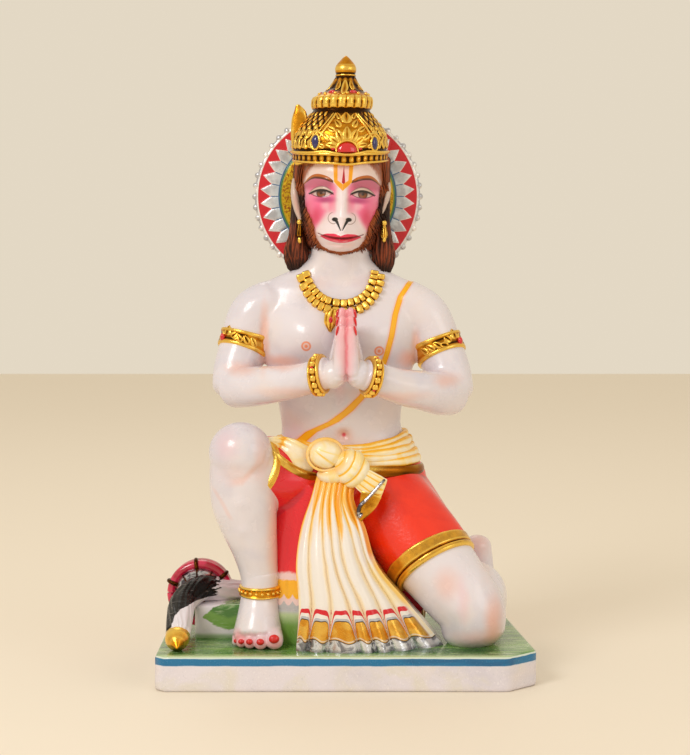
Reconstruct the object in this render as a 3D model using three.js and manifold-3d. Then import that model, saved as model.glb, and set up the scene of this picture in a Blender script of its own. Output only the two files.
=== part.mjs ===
// A kneeling hanuman figure with joined palms, carved from one block of white marble together with its plinth.
// Millimetres, +Z up, the face towards -Y. The origin is the middle of the plinth's underside.
import * as THREE from "three";
import Module from "manifold-3d";
import { mergeVertices } from "three/addons/utils/BufferGeometryUtils.js";

// Driving sizes, in millimetres.
const plinthWidth = 366;
const plinthDepth = 218;
const plinthHeight = 34;
const plinthFrontCut = 29; // the sawn-off corner at the front, on the kneeling knee's side
const plinthSideTaper = 16; // how much that side draws in towards the back
const plinthCornerEase = 9; // the other corners
const plinthEdgeEase = 2.5; // worn edges, top and bottom
const figureHeight = 576; // plinth top to crown tip

// The carving is laid out in shares of the figure's own height: 608 units from plinth top to crown tip.
// Places are [x, y, z] in those units, with z from the plinth's top. The figure's right side is at -X.
const heightUnits = 608;
const unit = figureHeight / heightUnits;
const carvingStands = -2; // in units: the carving stands a little to one side of the plinth's middle
const rooted = 4; // in units: how far the carving runs down into the plinth

const wasm = await Module();
wasm.setup();

const place = ([x, y, z]) => new THREE.Vector3(x, y, z);

// A closed surface from rings of equal length, each running counter-clockwise about the way they climb.
function loft(rings) {
  const count = rings[0].length;
  const middle = (ring) =>
    ring.reduce((sum, p) => sum.add(p), new THREE.Vector3()).divideScalar(count);
  const points = [...rings.flat(), middle(rings[0]), middle(rings.at(-1))];
  const [startCap, endCap] = [points.length - 2, points.length - 1];
  const lastRing = (rings.length - 1) * count;
  const faces = [];
  for (let j = 0; j < count; j++) {
    const next = (j + 1) % count;
    faces.push(startCap, next, j, endCap, lastRing + j, lastRing + next);
    for (let i = 0; i < lastRing; i += count) {
      faces.push(i + j, i + next, i + count + next);
      faces.push(i + j, i + count + next, i + count + j);
    }
  }
  return new THREE.BufferGeometry().setFromPoints(points).setIndex(faces);
}

// A rounded limb through stations [x, y, z, width, depth]. Width and depth are half sizes of its oval section,
// the width measured along `across`. `from` and `to` keep a stretch of it, and `swell` makes that stretch thicker,
// which is how a bracelet or a hem sits on the limb that it goes round.
function limb(stations, options = {}) {
  const { across = [1, 0, 0], sides = 10, steps = 5, blunt = 0.6, from = 0, to = 1, swell = 0 } = options;
  const spine = new THREE.CatmullRomCurve3(stations.map(place));
  const size = new THREE.CatmullRomCurve3(
    stations.map(([, , , width, depth = width]) => new THREE.Vector3(width, depth, 0)),
  );
  const ring = (t, shrink, advance) => {
    const along = spine.getTangent(t);
    const side = place(across).addScaledVector(along, -place(across).dot(along)).normalize();
    const front = new THREE.Vector3().crossVectors(along, side);
    const { x: width, y: depth } = size.getPoint(t);
    const centre = spine.getPoint(t).addScaledVector(along, advance * Math.min(width, depth) * blunt);
    return Array.from({ length: sides }, (_, j) => {
      const turn = (2 * Math.PI * j) / sides;
      return centre
        .clone()
        .addScaledVector(side, (width + swell) * shrink * Math.cos(turn))
        .addScaledVector(front, (depth + swell) * shrink * Math.sin(turn));
    });
  };
  const rings = [];
  const shoulder = 0.7; // where the rounded ends turn in, as a share of the section
  if (blunt) rings.push(ring(from, shoulder, -1));
  for (let i = 0; i <= steps; i++) rings.push(ring(from + ((to - from) * i) / steps, 1, 0));
  if (blunt) rings.push(ring(to, shoulder, 1));
  return loft(rings);
}

// A band that goes round a stretch of a limb, standing proud of it.
const cuff = (stations, from, to, swell, options = {}) =>
  limb(stations, { steps: 1, ...options, from, to, swell, blunt: 0 });

// A ball stretched to half sizes [a, b, c], turned by Euler angles in degrees.
function ball(centre, [a, b, c], turned = [0, 0, 0], around = 10) {
  const angles = turned.map(THREE.MathUtils.degToRad);
  return new THREE.SphereGeometry(1, around, Math.round(around * 0.6))
    .rotateX(Math.PI / 2)
    .scale(a, b, c)
    .applyMatrix4(new THREE.Matrix4().makeRotationFromEuler(new THREE.Euler(...angles)))
    .translate(...centre);
}

// A turned form: profile rows [radius, z, shiftX], an optional ripple round it, and a share for its depth.
function turned(profile, { centre, around = 28, depthShare = 1, ripple = () => 0 }) {
  return loft(
    profile.map(([radius, z, shift = 0], row) =>
      Array.from({ length: around }, (_, j) => {
        const turn = (2 * Math.PI * j) / around;
        const r = radius + ripple(turn, row, z);
        return new THREE.Vector3(
          centre[0] + shift + r * Math.cos(turn),
          centre[1] + r * depthShare * Math.sin(turn),
          centre[2] + z,
        );
      }),
    ),
  );
}

// One closed solid in the library's own form: welded, with the collapsed faces dropped.
function solidOf(geometry) {
  const bare = geometry.index ? geometry.toNonIndexed() : geometry.clone();
  for (const name of Object.keys(bare.attributes)) if (name !== "position") bare.deleteAttribute(name);
  const welded = mergeVertices(bare, 1e-4);
  const kept = [];
  const index = welded.index.array;
  for (let i = 0; i < index.length; i += 3) {
    const [a, b, c] = index.slice(i, i + 3);
    if (a !== b && b !== c && c !== a) kept.push(a, b, c);
  }
  return new wasm.Manifold(
    new wasm.Mesh({
      numProp: 3,
      vertProperties: welded.attributes.position.array,
      triVerts: new Uint32Array(kept),
    }),
  );
}

function geometryOf(solid) {
  const mesh = solid.getMesh();
  const points = new Float32Array(mesh.numVert * 3);
  for (let i = 0; i < mesh.numVert; i++)
    points.set(mesh.vertProperties.subarray(i * mesh.numProp, i * mesh.numProp + 3), i * 3);
  return new THREE.BufferGeometry()
    .setAttribute("position", new THREE.BufferAttribute(points, 3))
    .setIndex(new THREE.BufferAttribute(mesh.triVerts, 1));
}

// The body's own spines, shared by the skin, the cloth on it and the ornaments that go round it.
const bodyMiddle = -5;
const trunk = [
  [6, 20, 120, 74, 48],
  [4, 12, 160, 81, 50],
  [1, 9, 192, 74, 43],
  [-4, 6, 222, 63, 36],
  [-5, 5, 250, 66, 37],
  [-5, 4, 278, 75, 38],
  [-6, 4, 306, 84, 38],
  [-6, 5, 332, 88, 36],
  [-7, 8, 352, 86, 32],
  [-7, 10, 368, 83, 27],
  [-7, 11, 378, 62, 25],
  [-6, 11, 387, 43, 26],
  [-5, 9, 400, 31, 27],
  [-4, 7, 425, 30, 28],
];
const rightUpperArm = [
  [-76, 9, 351, 24.5],
  [-95, 9, 338, 27],
  [-106, 5, 308, 24.5, 26],
  [-114, -5, 280, 22.5, 24],
  [-117, -11, 263, 22],
];
const leftUpperArm = [
  [62, 9, 351, 24.5],
  [83, 9, 336, 26.5],
  [97, 5, 306, 24, 25.5],
  [108, -5, 278, 23, 24],
  [111, -11, 259, 23.5],
];
const rightForearm = [
  [-116, -13, 263, 21.5],
  [-98, -32, 265, 21],
  [-77, -47, 268, 19.5],
  [-54, -61, 272, 17.5],
  [-35, -71, 277, 16.5],
  [-17, -78, 283, 18, 16],
];
const leftForearm = [
  [110, -13, 257, 23.5],
  [97, -31, 258, 22.5],
  [80, -45, 262, 20.5],
  [56, -60, 267, 18.5],
  [37, -71, 274, 16.8],
  [19.5, -78, 281, 18, 16],
];
const raisedThigh = [
  [-38, 20, 148, 48, 46],
  [-64, -8, 167, 45, 43],
  [-90, -38, 178, 33.5, 34],
  [-106, -60, 189, 29, 29],
];
const raisedShin = [
  [-107, -64, 208, 24, 24],
  [-107.5, -61, 192, 30, 29],
  [-106.5, -57, 172, 32.5, 31.5],
  [-103.7, -50, 148, 33.6, 34.5],
  [-98.8, -46, 122, 29.2, 32],
  [-92.3, -44, 94, 23, 27],
  [-88, -44, 66, 19.4, 21],
  [-88, -43, 42, 19.6, 22],
];
const kneecap = { centre: [-107, -65, 200], halves: [31.5, 31, 30.5] };
const kneelingThigh = [
  [34, 14, 150, 50, 48],
  [58, -4, 122, 47, 46],
  [82, -20, 94, 44, 43],
  [110, -36, 60, 39, 39],
  [130, -47, 34, 36, 36],
  [133, -48, 14, 33, 33],
];
const kneelingShin = [
  [133, -34, 34, 34, 34],
  [137, 6, 38, 35, 38],
  [143, 46, 34, 31, 33],
  [148, 78, 26, 23, 24],
];
const tail = [
  [-25, 56, 118, 13],
  [-54, 70, 82, 13],
  [-82, 56, 50, 12.5],
  [-106, 28, 40, 12.5],
  [-130, 8, 45, 13],
  [-152, -8, 50, 13.5],
  [-168, -28, 40, 12.5],
  [-173, -54, 26, 11.5],
  [-171, -80, 14, 10.5],
];

// Soft swellings on the front of a form: each is [x, z, half width, half height, how far it stands out].
const swellingsAt = (swellings, x, z) =>
  swellings.reduce(
    (sum, [atX, atZ, wide, high, out]) => sum + out * Math.exp(-(((x - atX) / wide) ** 2) - ((z - atZ) / high) ** 2),
    0,
  );

function torso() {
  const swellings = [
    ...[-1, 1].flatMap((side) => [
      [bodyMiddle + side * 38, 318, 30, 24, 12],
      [bodyMiddle + side * 36, 288, 26, 9, -3],
      [bodyMiddle + side * 20, 366, 14, 5, 5],
    ]),
    [bodyMiddle, 322, 6, 26, -5],
    [bodyMiddle, 232, 34, 26, 7],
  ];
  const spine = new THREE.CatmullRomCurve3(trunk.map(place));
  const size = new THREE.CatmullRomCurve3(trunk.map(([, , , w, d]) => new THREE.Vector3(w, d, 0)));
  const [rows, sides] = [14, 18];
  const rings = Array.from({ length: rows + 1 }, (_, row) => {
    const [centre, { x: w, y: d }] = [spine.getPoint(row / rows), size.getPoint(row / rows)];
    return Array.from({ length: sides }, (_, j) => {
      const turn = (2 * Math.PI * j) / sides;
      const [x, front] = [centre.x + w * Math.cos(turn), Math.max(0, -Math.sin(turn))];
      const out = swellingsAt(swellings, x, centre.z) * Math.sqrt(front);
      return new THREE.Vector3(x, centre.y + d * Math.sin(turn) - out, centre.z);
    });
  });
  return [loft(rings)];
}

// One of the pressed hands, with its four fingers side by side. `side` is -1 for the figure's right hand.
// Its little finger is towards the front, and each row of [y, tip] gives a finger's middle and the height of its tip.
function hand(side) {
  const seam = 0.6;
  const [heel, nearEdge, farEdge] = [268, -99, -54];
  const fingers = [[-93.5, 333], [-82, 342], [-70.5, 349.5], [-59.5, 343]];
  const rows = [[0, 0.7, 16], [0.14, 0.98, 18], [0.4, 0.96, 14], [0.62, 0.98, 12.5], [0.88, 0.96, 11], [1, 0.8, 5.5]];
  const across = [];
  fingers.forEach(([y, tip], i) => {
    const gapBehind = i < 3 ? (y + fingers[i + 1][0]) / 2 : farEdge;
    if (!i) across.push({ y: nearEdge, tip: tip - 4, out: 0.45 });
    across.push({ y, tip, out: 1 }, { y: gapBehind, tip: tip - 5, out: i < 3 ? 0.78 : 0.45 });
  });
  const loop = [...across, { y: farEdge, tip: 338, out: 0 }, { y: nearEdge, tip: 329, out: 0 }];
  const middle = (nearEdge + farEdge) / 2;
  const rings = rows.map(([share, narrow, thick]) =>
    loop.map(({ y, tip, out }) =>
      new THREE.Vector3(
        seam + side * (thick * out - 0.3),
        middle + (y - middle) * narrow + (1 - share) * 3,
        heel + (tip - heel) * share,
      ),
    ),
  );
  const thumb = limb(
    [[seam + side * 14, -62, 282, 9], [seam + side * 12, -54, 298, 8], [seam + side * 8, -49, 318, 5.5]],
    { sides: 6, steps: 2 },
  );
  return [loft(side < 0 ? rings.map((ring) => ring.toReversed()) : rings), thumb];
}

function arms() {
  const webToChest = limb([[0, -54, 274, 12, 16], [0, -46, 318, 8, 16]], { sides: 6, steps: 1 });
  return [
    ...[rightUpperArm, leftUpperArm, rightForearm, leftForearm].map((stations) =>
      limb(stations, { across: [0, 1, 0] }),
    ),
    ...hand(-1),
    ...hand(1),
    webToChest,
  ];
}

const headCentre = [-3, 4, 468];

function head() {
  const [x, y, z] = headCentre;
  const section = [[-66, 13, 16], [-61, 23, 27], [-52, 30, 35], [-40, 35, 42], [-22, 39.5, 44], [0, 42, 45], [20, 42, 44], [40, 36, 40]];
  const both = (shape) => [shape, [-shape[0], ...shape.slice(1)]];
  const features = [
    ...both([17, 13, 15, 6, 7]), // brows
    ...both([21, -4, 10, 7, -5]), // eye hollows
    ...both([24, -22, 12, 10, 4]), // cheeks
    [0, -6, 6, 20, 9], // nose
    [0, -33, 9, 8, 13],
    [0, -49, 20, 11, 13], // muzzle
    [0, -52, 24, 4, 6], // lips
    [0, -61, 10, 5, 5], // chin
  ];
  const [rows, sides] = [15, 18];
  const size = new THREE.CatmullRomCurve3(section.map(([dz, w, d]) => new THREE.Vector3(w, d, dz)));
  const rings = Array.from({ length: rows + 1 }, (_, row) => {
    const { x: w, y: d, z: dz } = size.getPoint(row / rows);
    return Array.from({ length: sides }, (_, j) => {
      const v = (2 * j) / sides - 1; // -1 and 1 at the back, 0 at the nose
      const turn = Math.PI * v * (0.55 + 0.45 * v * v) - Math.PI / 2;
      const dx = w * Math.cos(turn);
      const facing = Math.max(0, -Math.sin(turn));
      const jawFur = 4 * Math.exp(-(((facing - 0.45) / 0.16) ** 2)) * (dz < 20 ? 1 : 0);
      const out = swellingsAt(features, dx, dz) * facing;
      return new THREE.Vector3(x + dx * (1 + jawFur / 42), y + d * Math.sin(turn) - out - jawFur, z + dz);
    });
  });
  const ear = (side) => ball([x + side * 45, y - 3, z - 10], [5, 10, 21], [0, side * -12, 0], 8);
  return [loft(rings), ear(-1), ear(1)];
}

function hair() {
  const [x, y, z] = headCentre;
  const lock = (side) =>
    limb(
      [
        [x + side * 36, y + 12, z + 24, 14, 26],
        [x + side * 39, y + 14, z - 10, 12.5, 26],
        [x + side * 41, y + 12, z - 36, 13.5, 22],
        [x + side * 45, y + 6, z - 62, 12.5, 16],
      ],
      { steps: 3, sides: 8 },
    );
  return [lock(-1), lock(1), ball([x, y + 26, z - 36], [46, 22, 44], [0, 0, 0], 8)];
}

// The crown, from its beaded brow band to the finial. It leans a little to the figure's left.
function crown() {
  const [x, y, z] = [-5, 5, 496];
  const [brow, dome, gadroons] = ["brow", "dome", "gadroons"];
  const tiers = [
    [44, -3], [50.4, 2, 0, brow], [50.6, 8.6], [50.2, 16, 0, dome], [49.2, 25.5, 0.5, dome], [45.4, 35.5, 1, dome],
    [38.6, 44, 1.8, dome], [30, 54.6, 3], [32.2, 61, 3.8, gadroons], [30.6, 68.4, 4.3, gadroons], [23, 73.2, 4.7], [14.8, 81, 5],
    [10.8, 90, 5.6], [11.6, 99.5, 5.7], [8.4, 106.4, 5.9], [2, 112, 6],
  ];
  const relief = { [brow]: 0.8, [dome]: 1.1, [gadroons]: 1.3 };
  const around = 18;
  const ripple = (turn, row) => {
    const swing = relief[tiers[row][3]] ?? 0;
    const stagger = tiers[row][3] === dome && row % 2 ? Math.PI : 0;
    return swing * Math.cos((turn * around) / 2 + stagger);
  };
  const gem = ball([x + 7, y - 49, z + 18], [11, 5, 8], [0, 0, 0], 8);
  const sideFin = limb([[-43, -1, z + 2, 9, 8], [-47, -4, z + 30, 8.4, 4.6], [-47, -4, z + 50, 6.8, 3.2], [-49, -4, z + 58, 2.2, 2]],
    { sides: 6, steps: 3 });
  return [turned(tiers, { centre: [x, y, z], around, ripple }), gem, sideFin];
}

// The round glory behind the head, with a scalloped rim.
function halo() {
  const [x, z] = [-8, 463];
  const [radius, scallops, scallopDepth] = [91, 36, 3];
  const [backY, thickness] = [41, 16];
  const [bossRadius, bossStands] = [60, 2.5];
  const outline = new THREE.Shape(
    Array.from({ length: scallops * 2 }, (_, i) => {
      const turn = (Math.PI * i) / scallops;
      const r = radius - (i % 2) * scallopDepth;
      return new THREE.Vector2(r * Math.cos(turn), r * Math.sin(turn));
    }),
  );
  return [
    new THREE.ExtrudeGeometry(outline, { depth: thickness, bevelEnabled: false })
      .rotateX(Math.PI / 2)
      .translate(x, backY + thickness, z),
    new THREE.CylinderGeometry(bossRadius, bossRadius, thickness, 24).translate(x, backY + thickness / 2 - bossStands, z),
  ];
}

function legs() {
  const heelUp = limb([[150, 82, 22, 20], [149, 92, 52, 16, 15], [146, 92, 83, 17, 15]], { steps: 3, sides: 8 });
  return [
    limb(raisedThigh, { steps: 3 }),
    limb(raisedShin, { steps: 6 }),
    ball(kneecap.centre, kneecap.halves),
    limb(kneelingThigh, { steps: 4 }),
    limb(kneelingShin, { steps: 3 }),
    heelUp,
    ball([150, 92, 8], [19, 14, 11], [0, 0, 0], 8),
  ];
}

function raisedFoot() {
  const instep = limb(
    [[-88, 2, 15, 16, 15], [-88, -30, 24, 19, 22], [-88, -54, 17, 23, 17], [-88, -66, 10, 25, 11]],
    { steps: 4 },
  );
  const toes = [
    { x: -71.5, tip: -88, r: 9 },
    { x: -85.5, tip: -87, r: 6.6 },
    { x: -97, tip: -82, r: 6 },
    { x: -105.5, tip: -75, r: 5.4 },
    { x: -111, tip: -67, r: 4.8 },
  ].map(({ x, tip, r }) =>
    limb(
      [[x, tip + 26, r + 1, r, r], [x, tip + r * 0.6, r, r, r]],
      { sides: 6, steps: 1 },
    ),
  );
  return [instep, ...toes];
}

// The loincloth on both thighs, its hems, and the cloth that falls behind the sash and under the seat.
function loincloth() {
  const over = 2.2;
  const hemStands = 1.6;
  const raisedHem = [0.77, 0.845];
  const kneelingHem = [0.43, 0.51];
  const hips = limb([[6, 20, 112, 70, 46], [4, 12, 160, 82.5, 50], [1, 9, 184, 75, 44]], { steps: 2, sides: 10, blunt: 0 });
  const fall = limb([[-34, -22, 160, 40, 26], [-42, -27, 100, 40, 24], [-44, -32, -rooted, 40, 24]], { steps: 3, sides: 8, blunt: 0 });
  const pleats = 9;
  const seat = turned(
    [[68, -rooted], [74, 18], [72, 56], [66, 96], [58, 132]],
    { centre: [12, 26, 0], around: pleats * 2, depthShare: 0.76, ripple: (turn) => 2.2 * Math.cos(turn * pleats) },
  );
  return [
    limb(raisedThigh, { to: raisedHem[0], swell: over, steps: 2, blunt: 0.3 }),
    cuff(raisedThigh, ...raisedHem, over + hemStands),
    limb(kneelingThigh, { to: kneelingHem[0], swell: over, steps: 2, blunt: 0.3 }),
    cuff(kneelingThigh, ...kneelingHem, over + hemStands),
    hips,
    fall,
    seat,
  ];
}

// The pleated end of the sash, which falls from the knot and spreads over the plinth.
function pleatedFall() {
  const [rows, pleats] = [6, 8];
  const columns = pleats * 2;
  const thickness = 58; // the cloth isn't cut free behind: it stays one mass with the seat
  const [top, bottom] = [174, -rooted];
  const edge = (places) => new THREE.CatmullRomCurve3(places.map(place));
  const leftEdge = edge([[-29, -50, top], [-35, -55, 152], [-45, -60, 122], [-50, -71, 85], [-47, -80, 45], [-50, -86, bottom]]);
  const rightEdge = edge([[12, -52, top], [9, -58, 152], [21, -62, 122], [33, -67, 85], [65, -66, 45], [104, -58, bottom]]);
  const rings = Array.from({ length: rows + 1 }, (_, row) => {
    const t = 1 - row / rows;
    const [left, right] = [leftEdge.getPoint(t), rightEdge.getPoint(t)];
    const [bulge, foldDepth] = [6 + 18 * t, 1.6 + 2.6 * t];
    const front = Array.from({ length: columns + 1 }, (_, column) => {
      const s = column / columns;
      const out = bulge * Math.sin(Math.PI * s) + (column % 2 ? foldDepth : -foldDepth);
      return new THREE.Vector3().lerpVectors(left, right, s).add(new THREE.Vector3(0, -out, 0));
    });
    const back = [0.9, 0.1].map((s) =>
      new THREE.Vector3().lerpVectors(left, right, s).add(new THREE.Vector3(0, thickness, 0)));
    return [...front, ...back];
  });
  return loft(rings);
}

function sash() {
  const wrapPoints = 12;
  // A roll lies at the heights `left`, `front` and `right` as it goes round the waist.
  const roll = ({ left, front, right, reachX, reachY, thick, high }) => {
    const middle = (left + right) / 2;
    const wrap = new THREE.CatmullRomCurve3(
      Array.from({ length: wrapPoints }, (_, i) => {
        const turn = (2 * Math.PI * i) / wrapPoints;
        const ahead = Math.max(0, -Math.sin(turn)) ** 2;
        const z = middle + ((left - right) / 2) * Math.cos(turn) + (front - middle) * ahead;
        return new THREE.Vector3(2 + reachX * Math.cos(turn), 8 + reachY * Math.sin(turn), z);
      }),
      true,
    );
    return ropeAlong(wrap, thick, high, 14);
  };
  // The ends stay one mass with the cloth behind them.
  const shortEnd = limb([[8, -54, 178, 8, 12], [20, -53, 171, 12, 13], [31, -51, 164, 13, 13], [39, -49, 161, 11.5, 13]],
    { across: [0.72, 0, 0.7], steps: 3, sides: 8, blunt: 0.2 });
  const shortBand = limb([[27, -52, 157, 11, 12], [24, -53, 148, 9.5, 12], [19, -54, 138, 6.4, 11], [15, -54, 130, 2.6, 9]],
    { across: [0.9, 0, 0.3], steps: 3, sides: 8, blunt: 0.2 });
  const overThigh = limb([[-84, -52, 206, 10, 4], [-66, -48, 203, 14, 9], [-46, -46, 194, 16, 13], [-34, -46, 189, 16, 14]],
    { across: [0, 1, 0], steps: 3, sides: 8, blunt: 0.2 });
  return [
    roll({ left: 208, front: 199, right: 211, reachX: 67, reachY: 41, thick: 5, high: 9 }),
    roll({ left: 191, front: 190.5, right: 207, reachX: 74.5, reachY: 45.5, thick: 5, high: 8 }),
    roll({ left: 175.5, front: 180, right: 196, reachX: 77.5, reachY: 46, thick: 4.5, high: 7 }),
    overThigh,
    ball([-20, -55, 197.5], [18, 13.5, 15.6]),
    ball([7, -57, 183], [17.5, 12.5, 20], [0, -24, 0]),
    shortEnd,
    shortBand,
    pleatedFall(),
  ];
}

// A closed rope, five-sided in section, along a closed curve.
function ropeAlong(curve, width, height, steps) {
  const sides = 5;
  const section = new THREE.Shape(
    Array.from({ length: sides }, (_, i) => {
      const turn = (2 * Math.PI * i) / sides;
      return new THREE.Vector2(width * Math.cos(turn), height * Math.sin(turn));
    }),
  );
  return new THREE.ExtrudeGeometry(section, { extrudePath: curve, steps });
}

function ornaments() {
  const [armletBand, braceletBand, ankletBand] = [[0.45, 0.59], [0.86, 0.965], [0.89, 0.952]];
  const collar = new THREE.CatmullRomCurve3(
    [[-48, 6, 384], [-44, -14, 366], [-32, -27, 350], [-16, -34, 341], [-2, -36, 338], [14, -34, 341],
      [30, -27, 350], [40, -14, 366], [43, 6, 384], [20, 34, 388], [-26, 34, 388]].map(place), true);
  const earring = (side) =>
    ball([headCentre[0] + side * 44, headCentre[1] - 6, headCentre[2] - 46], [4, 4, 12], [0, 0, 0], 6);
  return [
    ropeAlong(collar, 6.5, 5, 20),
    ball([0, -38, 326], [12, 7, 14], [0, 0, 0], 8),
    ...[rightUpperArm, leftUpperArm].map((arm) => cuff(arm, ...armletBand, 2, { across: [0, 1, 0] })),
    ...[rightForearm, leftForearm].map((arm) => cuff(arm, ...braceletBand, 3.5, { across: [0, 1, 0] })),
    cuff(raisedShin, ...ankletBand, 2.5),
    earring(-1),
    earring(1),
  ];
}

function tailAndMace() {
  const tailCap = limb([[-171, -78, 14, 11.5], [-170, -88, 11, 10], [-168, -100, 7, 2]], { sides: 8, steps: 2, blunt: 0.2 });
  const maceHead = ball([-154, 20, 42], [35, 35, 35]);
  const maceShaft = limb([[-150, 30, 34, 9], [-112, 92, 16, 8]], { sides: 6, steps: 1 });
  const rockBlock = new THREE.BoxGeometry(56, 58, 36 + rooted).translate(-130, 5, (36 - rooted) / 2);
  return [limb(tail, { steps: 11, sides: 6 }), tailCap, maceHead, maceShaft, rockBlock];
}

function plinth() {
  const [x, y] = [plinthWidth / 2 - plinthEdgeEase, plinthDepth / 2 - plinthEdgeEase];
  const outline = new THREE.Shape(
    [
      [-x + plinthCornerEase, -y], [x - plinthFrontCut, -y], [x, -y + plinthFrontCut],
      [x - plinthSideTaper, y - plinthCornerEase], [x - plinthSideTaper - plinthCornerEase, y],
      [-x + plinthCornerEase, y], [-x, y - plinthCornerEase], [-x, -y + plinthCornerEase],
    ].map((corner) => new THREE.Vector2(...corner)),
  );
  return new THREE.ExtrudeGeometry(outline, {
    depth: plinthHeight - 2 * plinthEdgeEase,
    bevelThickness: plinthEdgeEase,
    bevelSize: plinthEdgeEase,
    bevelSegments: 2,
  }).translate(0, 0, plinthEdgeEase);
}

const carving = [
  ...torso(), ...arms(), ...head(), ...hair(), ...crown(), ...halo(), ...legs(), ...raisedFoot(),
  ...loincloth(), ...sash(), ...ornaments(), ...tailAndMace(),
].map((form) => solidOf(form.scale(unit, unit, unit).translate(carvingStands * unit, 0, plinthHeight)));
const underside = plinthHeight / 2;
const block = wasm.Manifold.union([
  ...carving.map((form) => form.trimByPlane([0, 0, 1], underside)),
  solidOf(plinth()),
]);
// The forms overlap inside the block, and stone has no pockets where they miss each other. Slivers along the lines
// where two forms meet are merged away.
const sliver = 0.4; // millimetres
const whole = block.simplify(sliver).decompose().filter((shell) => shell.volume() > 0);
const stone = wasm.Manifold.union(whole);

const marble = new THREE.MeshStandardMaterial({ color: 0xe9e4e2, roughness: 0.16, metalness: 0 });
const figure = new THREE.Mesh(geometryOf(stone), marble);
figure.name = "hanuman_figure";

const statue = new THREE.Group();
statue.add(figure);
export default statue;
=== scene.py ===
# A kneeling hanuman figure with joined palms, carved in white marble with its plinth, painted and gilded.
import math

import bpy
import numpy as np
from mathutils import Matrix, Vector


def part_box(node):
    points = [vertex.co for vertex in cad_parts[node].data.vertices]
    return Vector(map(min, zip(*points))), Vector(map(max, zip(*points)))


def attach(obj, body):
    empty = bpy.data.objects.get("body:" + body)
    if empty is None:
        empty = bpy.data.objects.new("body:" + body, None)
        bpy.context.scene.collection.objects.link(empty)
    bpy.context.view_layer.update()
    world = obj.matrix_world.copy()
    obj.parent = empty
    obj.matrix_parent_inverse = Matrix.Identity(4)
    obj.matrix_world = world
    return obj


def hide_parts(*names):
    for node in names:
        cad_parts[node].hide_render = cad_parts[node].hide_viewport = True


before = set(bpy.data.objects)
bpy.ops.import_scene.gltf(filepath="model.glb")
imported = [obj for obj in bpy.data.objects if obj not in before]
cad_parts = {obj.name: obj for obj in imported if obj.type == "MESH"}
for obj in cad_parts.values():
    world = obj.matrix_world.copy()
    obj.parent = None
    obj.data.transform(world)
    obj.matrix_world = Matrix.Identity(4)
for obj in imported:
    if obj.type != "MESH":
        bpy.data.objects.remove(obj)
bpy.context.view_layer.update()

# The carving is laid out in units, shares of the figure's height from the plinth's top to the crown's tip.
# Places are (x, y, z): x to the viewer's right, y away from the viewer, z up from the plinth's top.
block = {
    "node": "hanuman_figure",
    "body": "root",
    "slot": "painted_marble",
    "plinthHeight": 0.034,
    "heightUnits": 608,
    "carvingStands": -2,  # units to the left of the plinth's middle
}
_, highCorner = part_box(block["node"])
unit = (highCorner[2] - block["plinthHeight"]) / block["heightUnits"]
carvingOrigin = np.array([block["carvingStands"] * unit, 0, block["plinthHeight"]])
merging = 1e-6  # metres
pieces = []
print("frame loaded, one unit is", round(unit * 1000, 4), "mm")


def inMetres(places):
    return np.asarray(places, float) * unit + carvingOrigin


def inUnits(places):
    return (np.asarray(places, float) - carvingOrigin) / unit


def choose(*chosen):
    bpy.ops.object.select_all(action="DESELECT")
    for one in chosen:
        one.select_set(True)
    bpy.context.view_layer.objects.active = chosen[0]
    return chosen[0]


def applyModifier(piece, kind, **settings):
    choose(piece)
    modifier = piece.modifiers.new(kind.title(), kind)
    for name, value in settings.items():
        setattr(modifier, name, value)
    bpy.ops.object.modifier_apply(modifier=modifier.name)
    return piece


def cornersOf(piece):
    flat = np.empty(len(piece.data.vertices) * 3)
    piece.data.vertices.foreach_get("co", flat)
    return flat.reshape(-1, 3)


def moveCorners(piece, corners):
    piece.data.vertices.foreach_set("co", np.ascontiguousarray(corners, float).ravel())
    piece.data.update()
    return piece


def normalsOf(piece):
    flat = np.empty(len(piece.data.vertices) * 3)
    piece.data.vertex_normals.foreach_get("vector", flat)
    return flat.reshape(-1, 3)


def note(piece, name, values):
    # Keeps a number at every corner of the mesh, for the materials to read.
    attribute = piece.data.attributes.new(name, "FLOAT", "POINT")
    attribute.data.foreach_set("value", np.ascontiguousarray(values, float))
    return piece


def tidyShell(piece, closing=True):
    choose(piece)
    bpy.ops.object.mode_set(mode="EDIT")
    bpy.ops.mesh.select_all(action="SELECT")
    if closing:
        bpy.ops.mesh.remove_doubles(threshold=merging)
        bpy.ops.mesh.fill_holes(sides=0)
    bpy.ops.mesh.normals_make_consistent(inside=False)
    bpy.ops.object.mode_set(mode="OBJECT")
    if closing:
        bpy.ops.object.shade_smooth()
    return piece


def bentGrid(name, columns, rows, shape, notes=None):
    # A grid bent to shape(u, v), with u and v from 0 to 1, its seam merged and its open ends closed.
    bpy.ops.object.select_all(action="DESELECT")
    bpy.ops.mesh.primitive_grid_add(x_subdivisions=columns, y_subdivisions=rows, size=1)
    piece = bpy.context.object
    piece.name = name
    flat = cornersOf(piece)
    u, v = flat[:, 0] + 0.5, flat[:, 1] + 0.5
    moveCorners(piece, inMetres(shape(u, v)))
    for title, values in (notes(u, v) if notes else {}).items():
        note(piece, title, values)
    return tidyShell(piece)


def joined(name, parts):
    choose(*parts)
    bpy.ops.object.join()
    parts[0].name = name
    parts[0].data.name = name
    return parts[0]


def blended(name, parts, grain, softening):
    # One skin over several overlapping forms. grain is the size of its faces in units.
    skin = joined(name, parts)
    applyModifier(skin, "REMESH", mode="VOXEL", voxel_size=grain * unit, use_smooth_shade=True)
    applyModifier(skin, "SMOOTH", factor=0.5, iterations=softening)
    return skin


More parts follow.
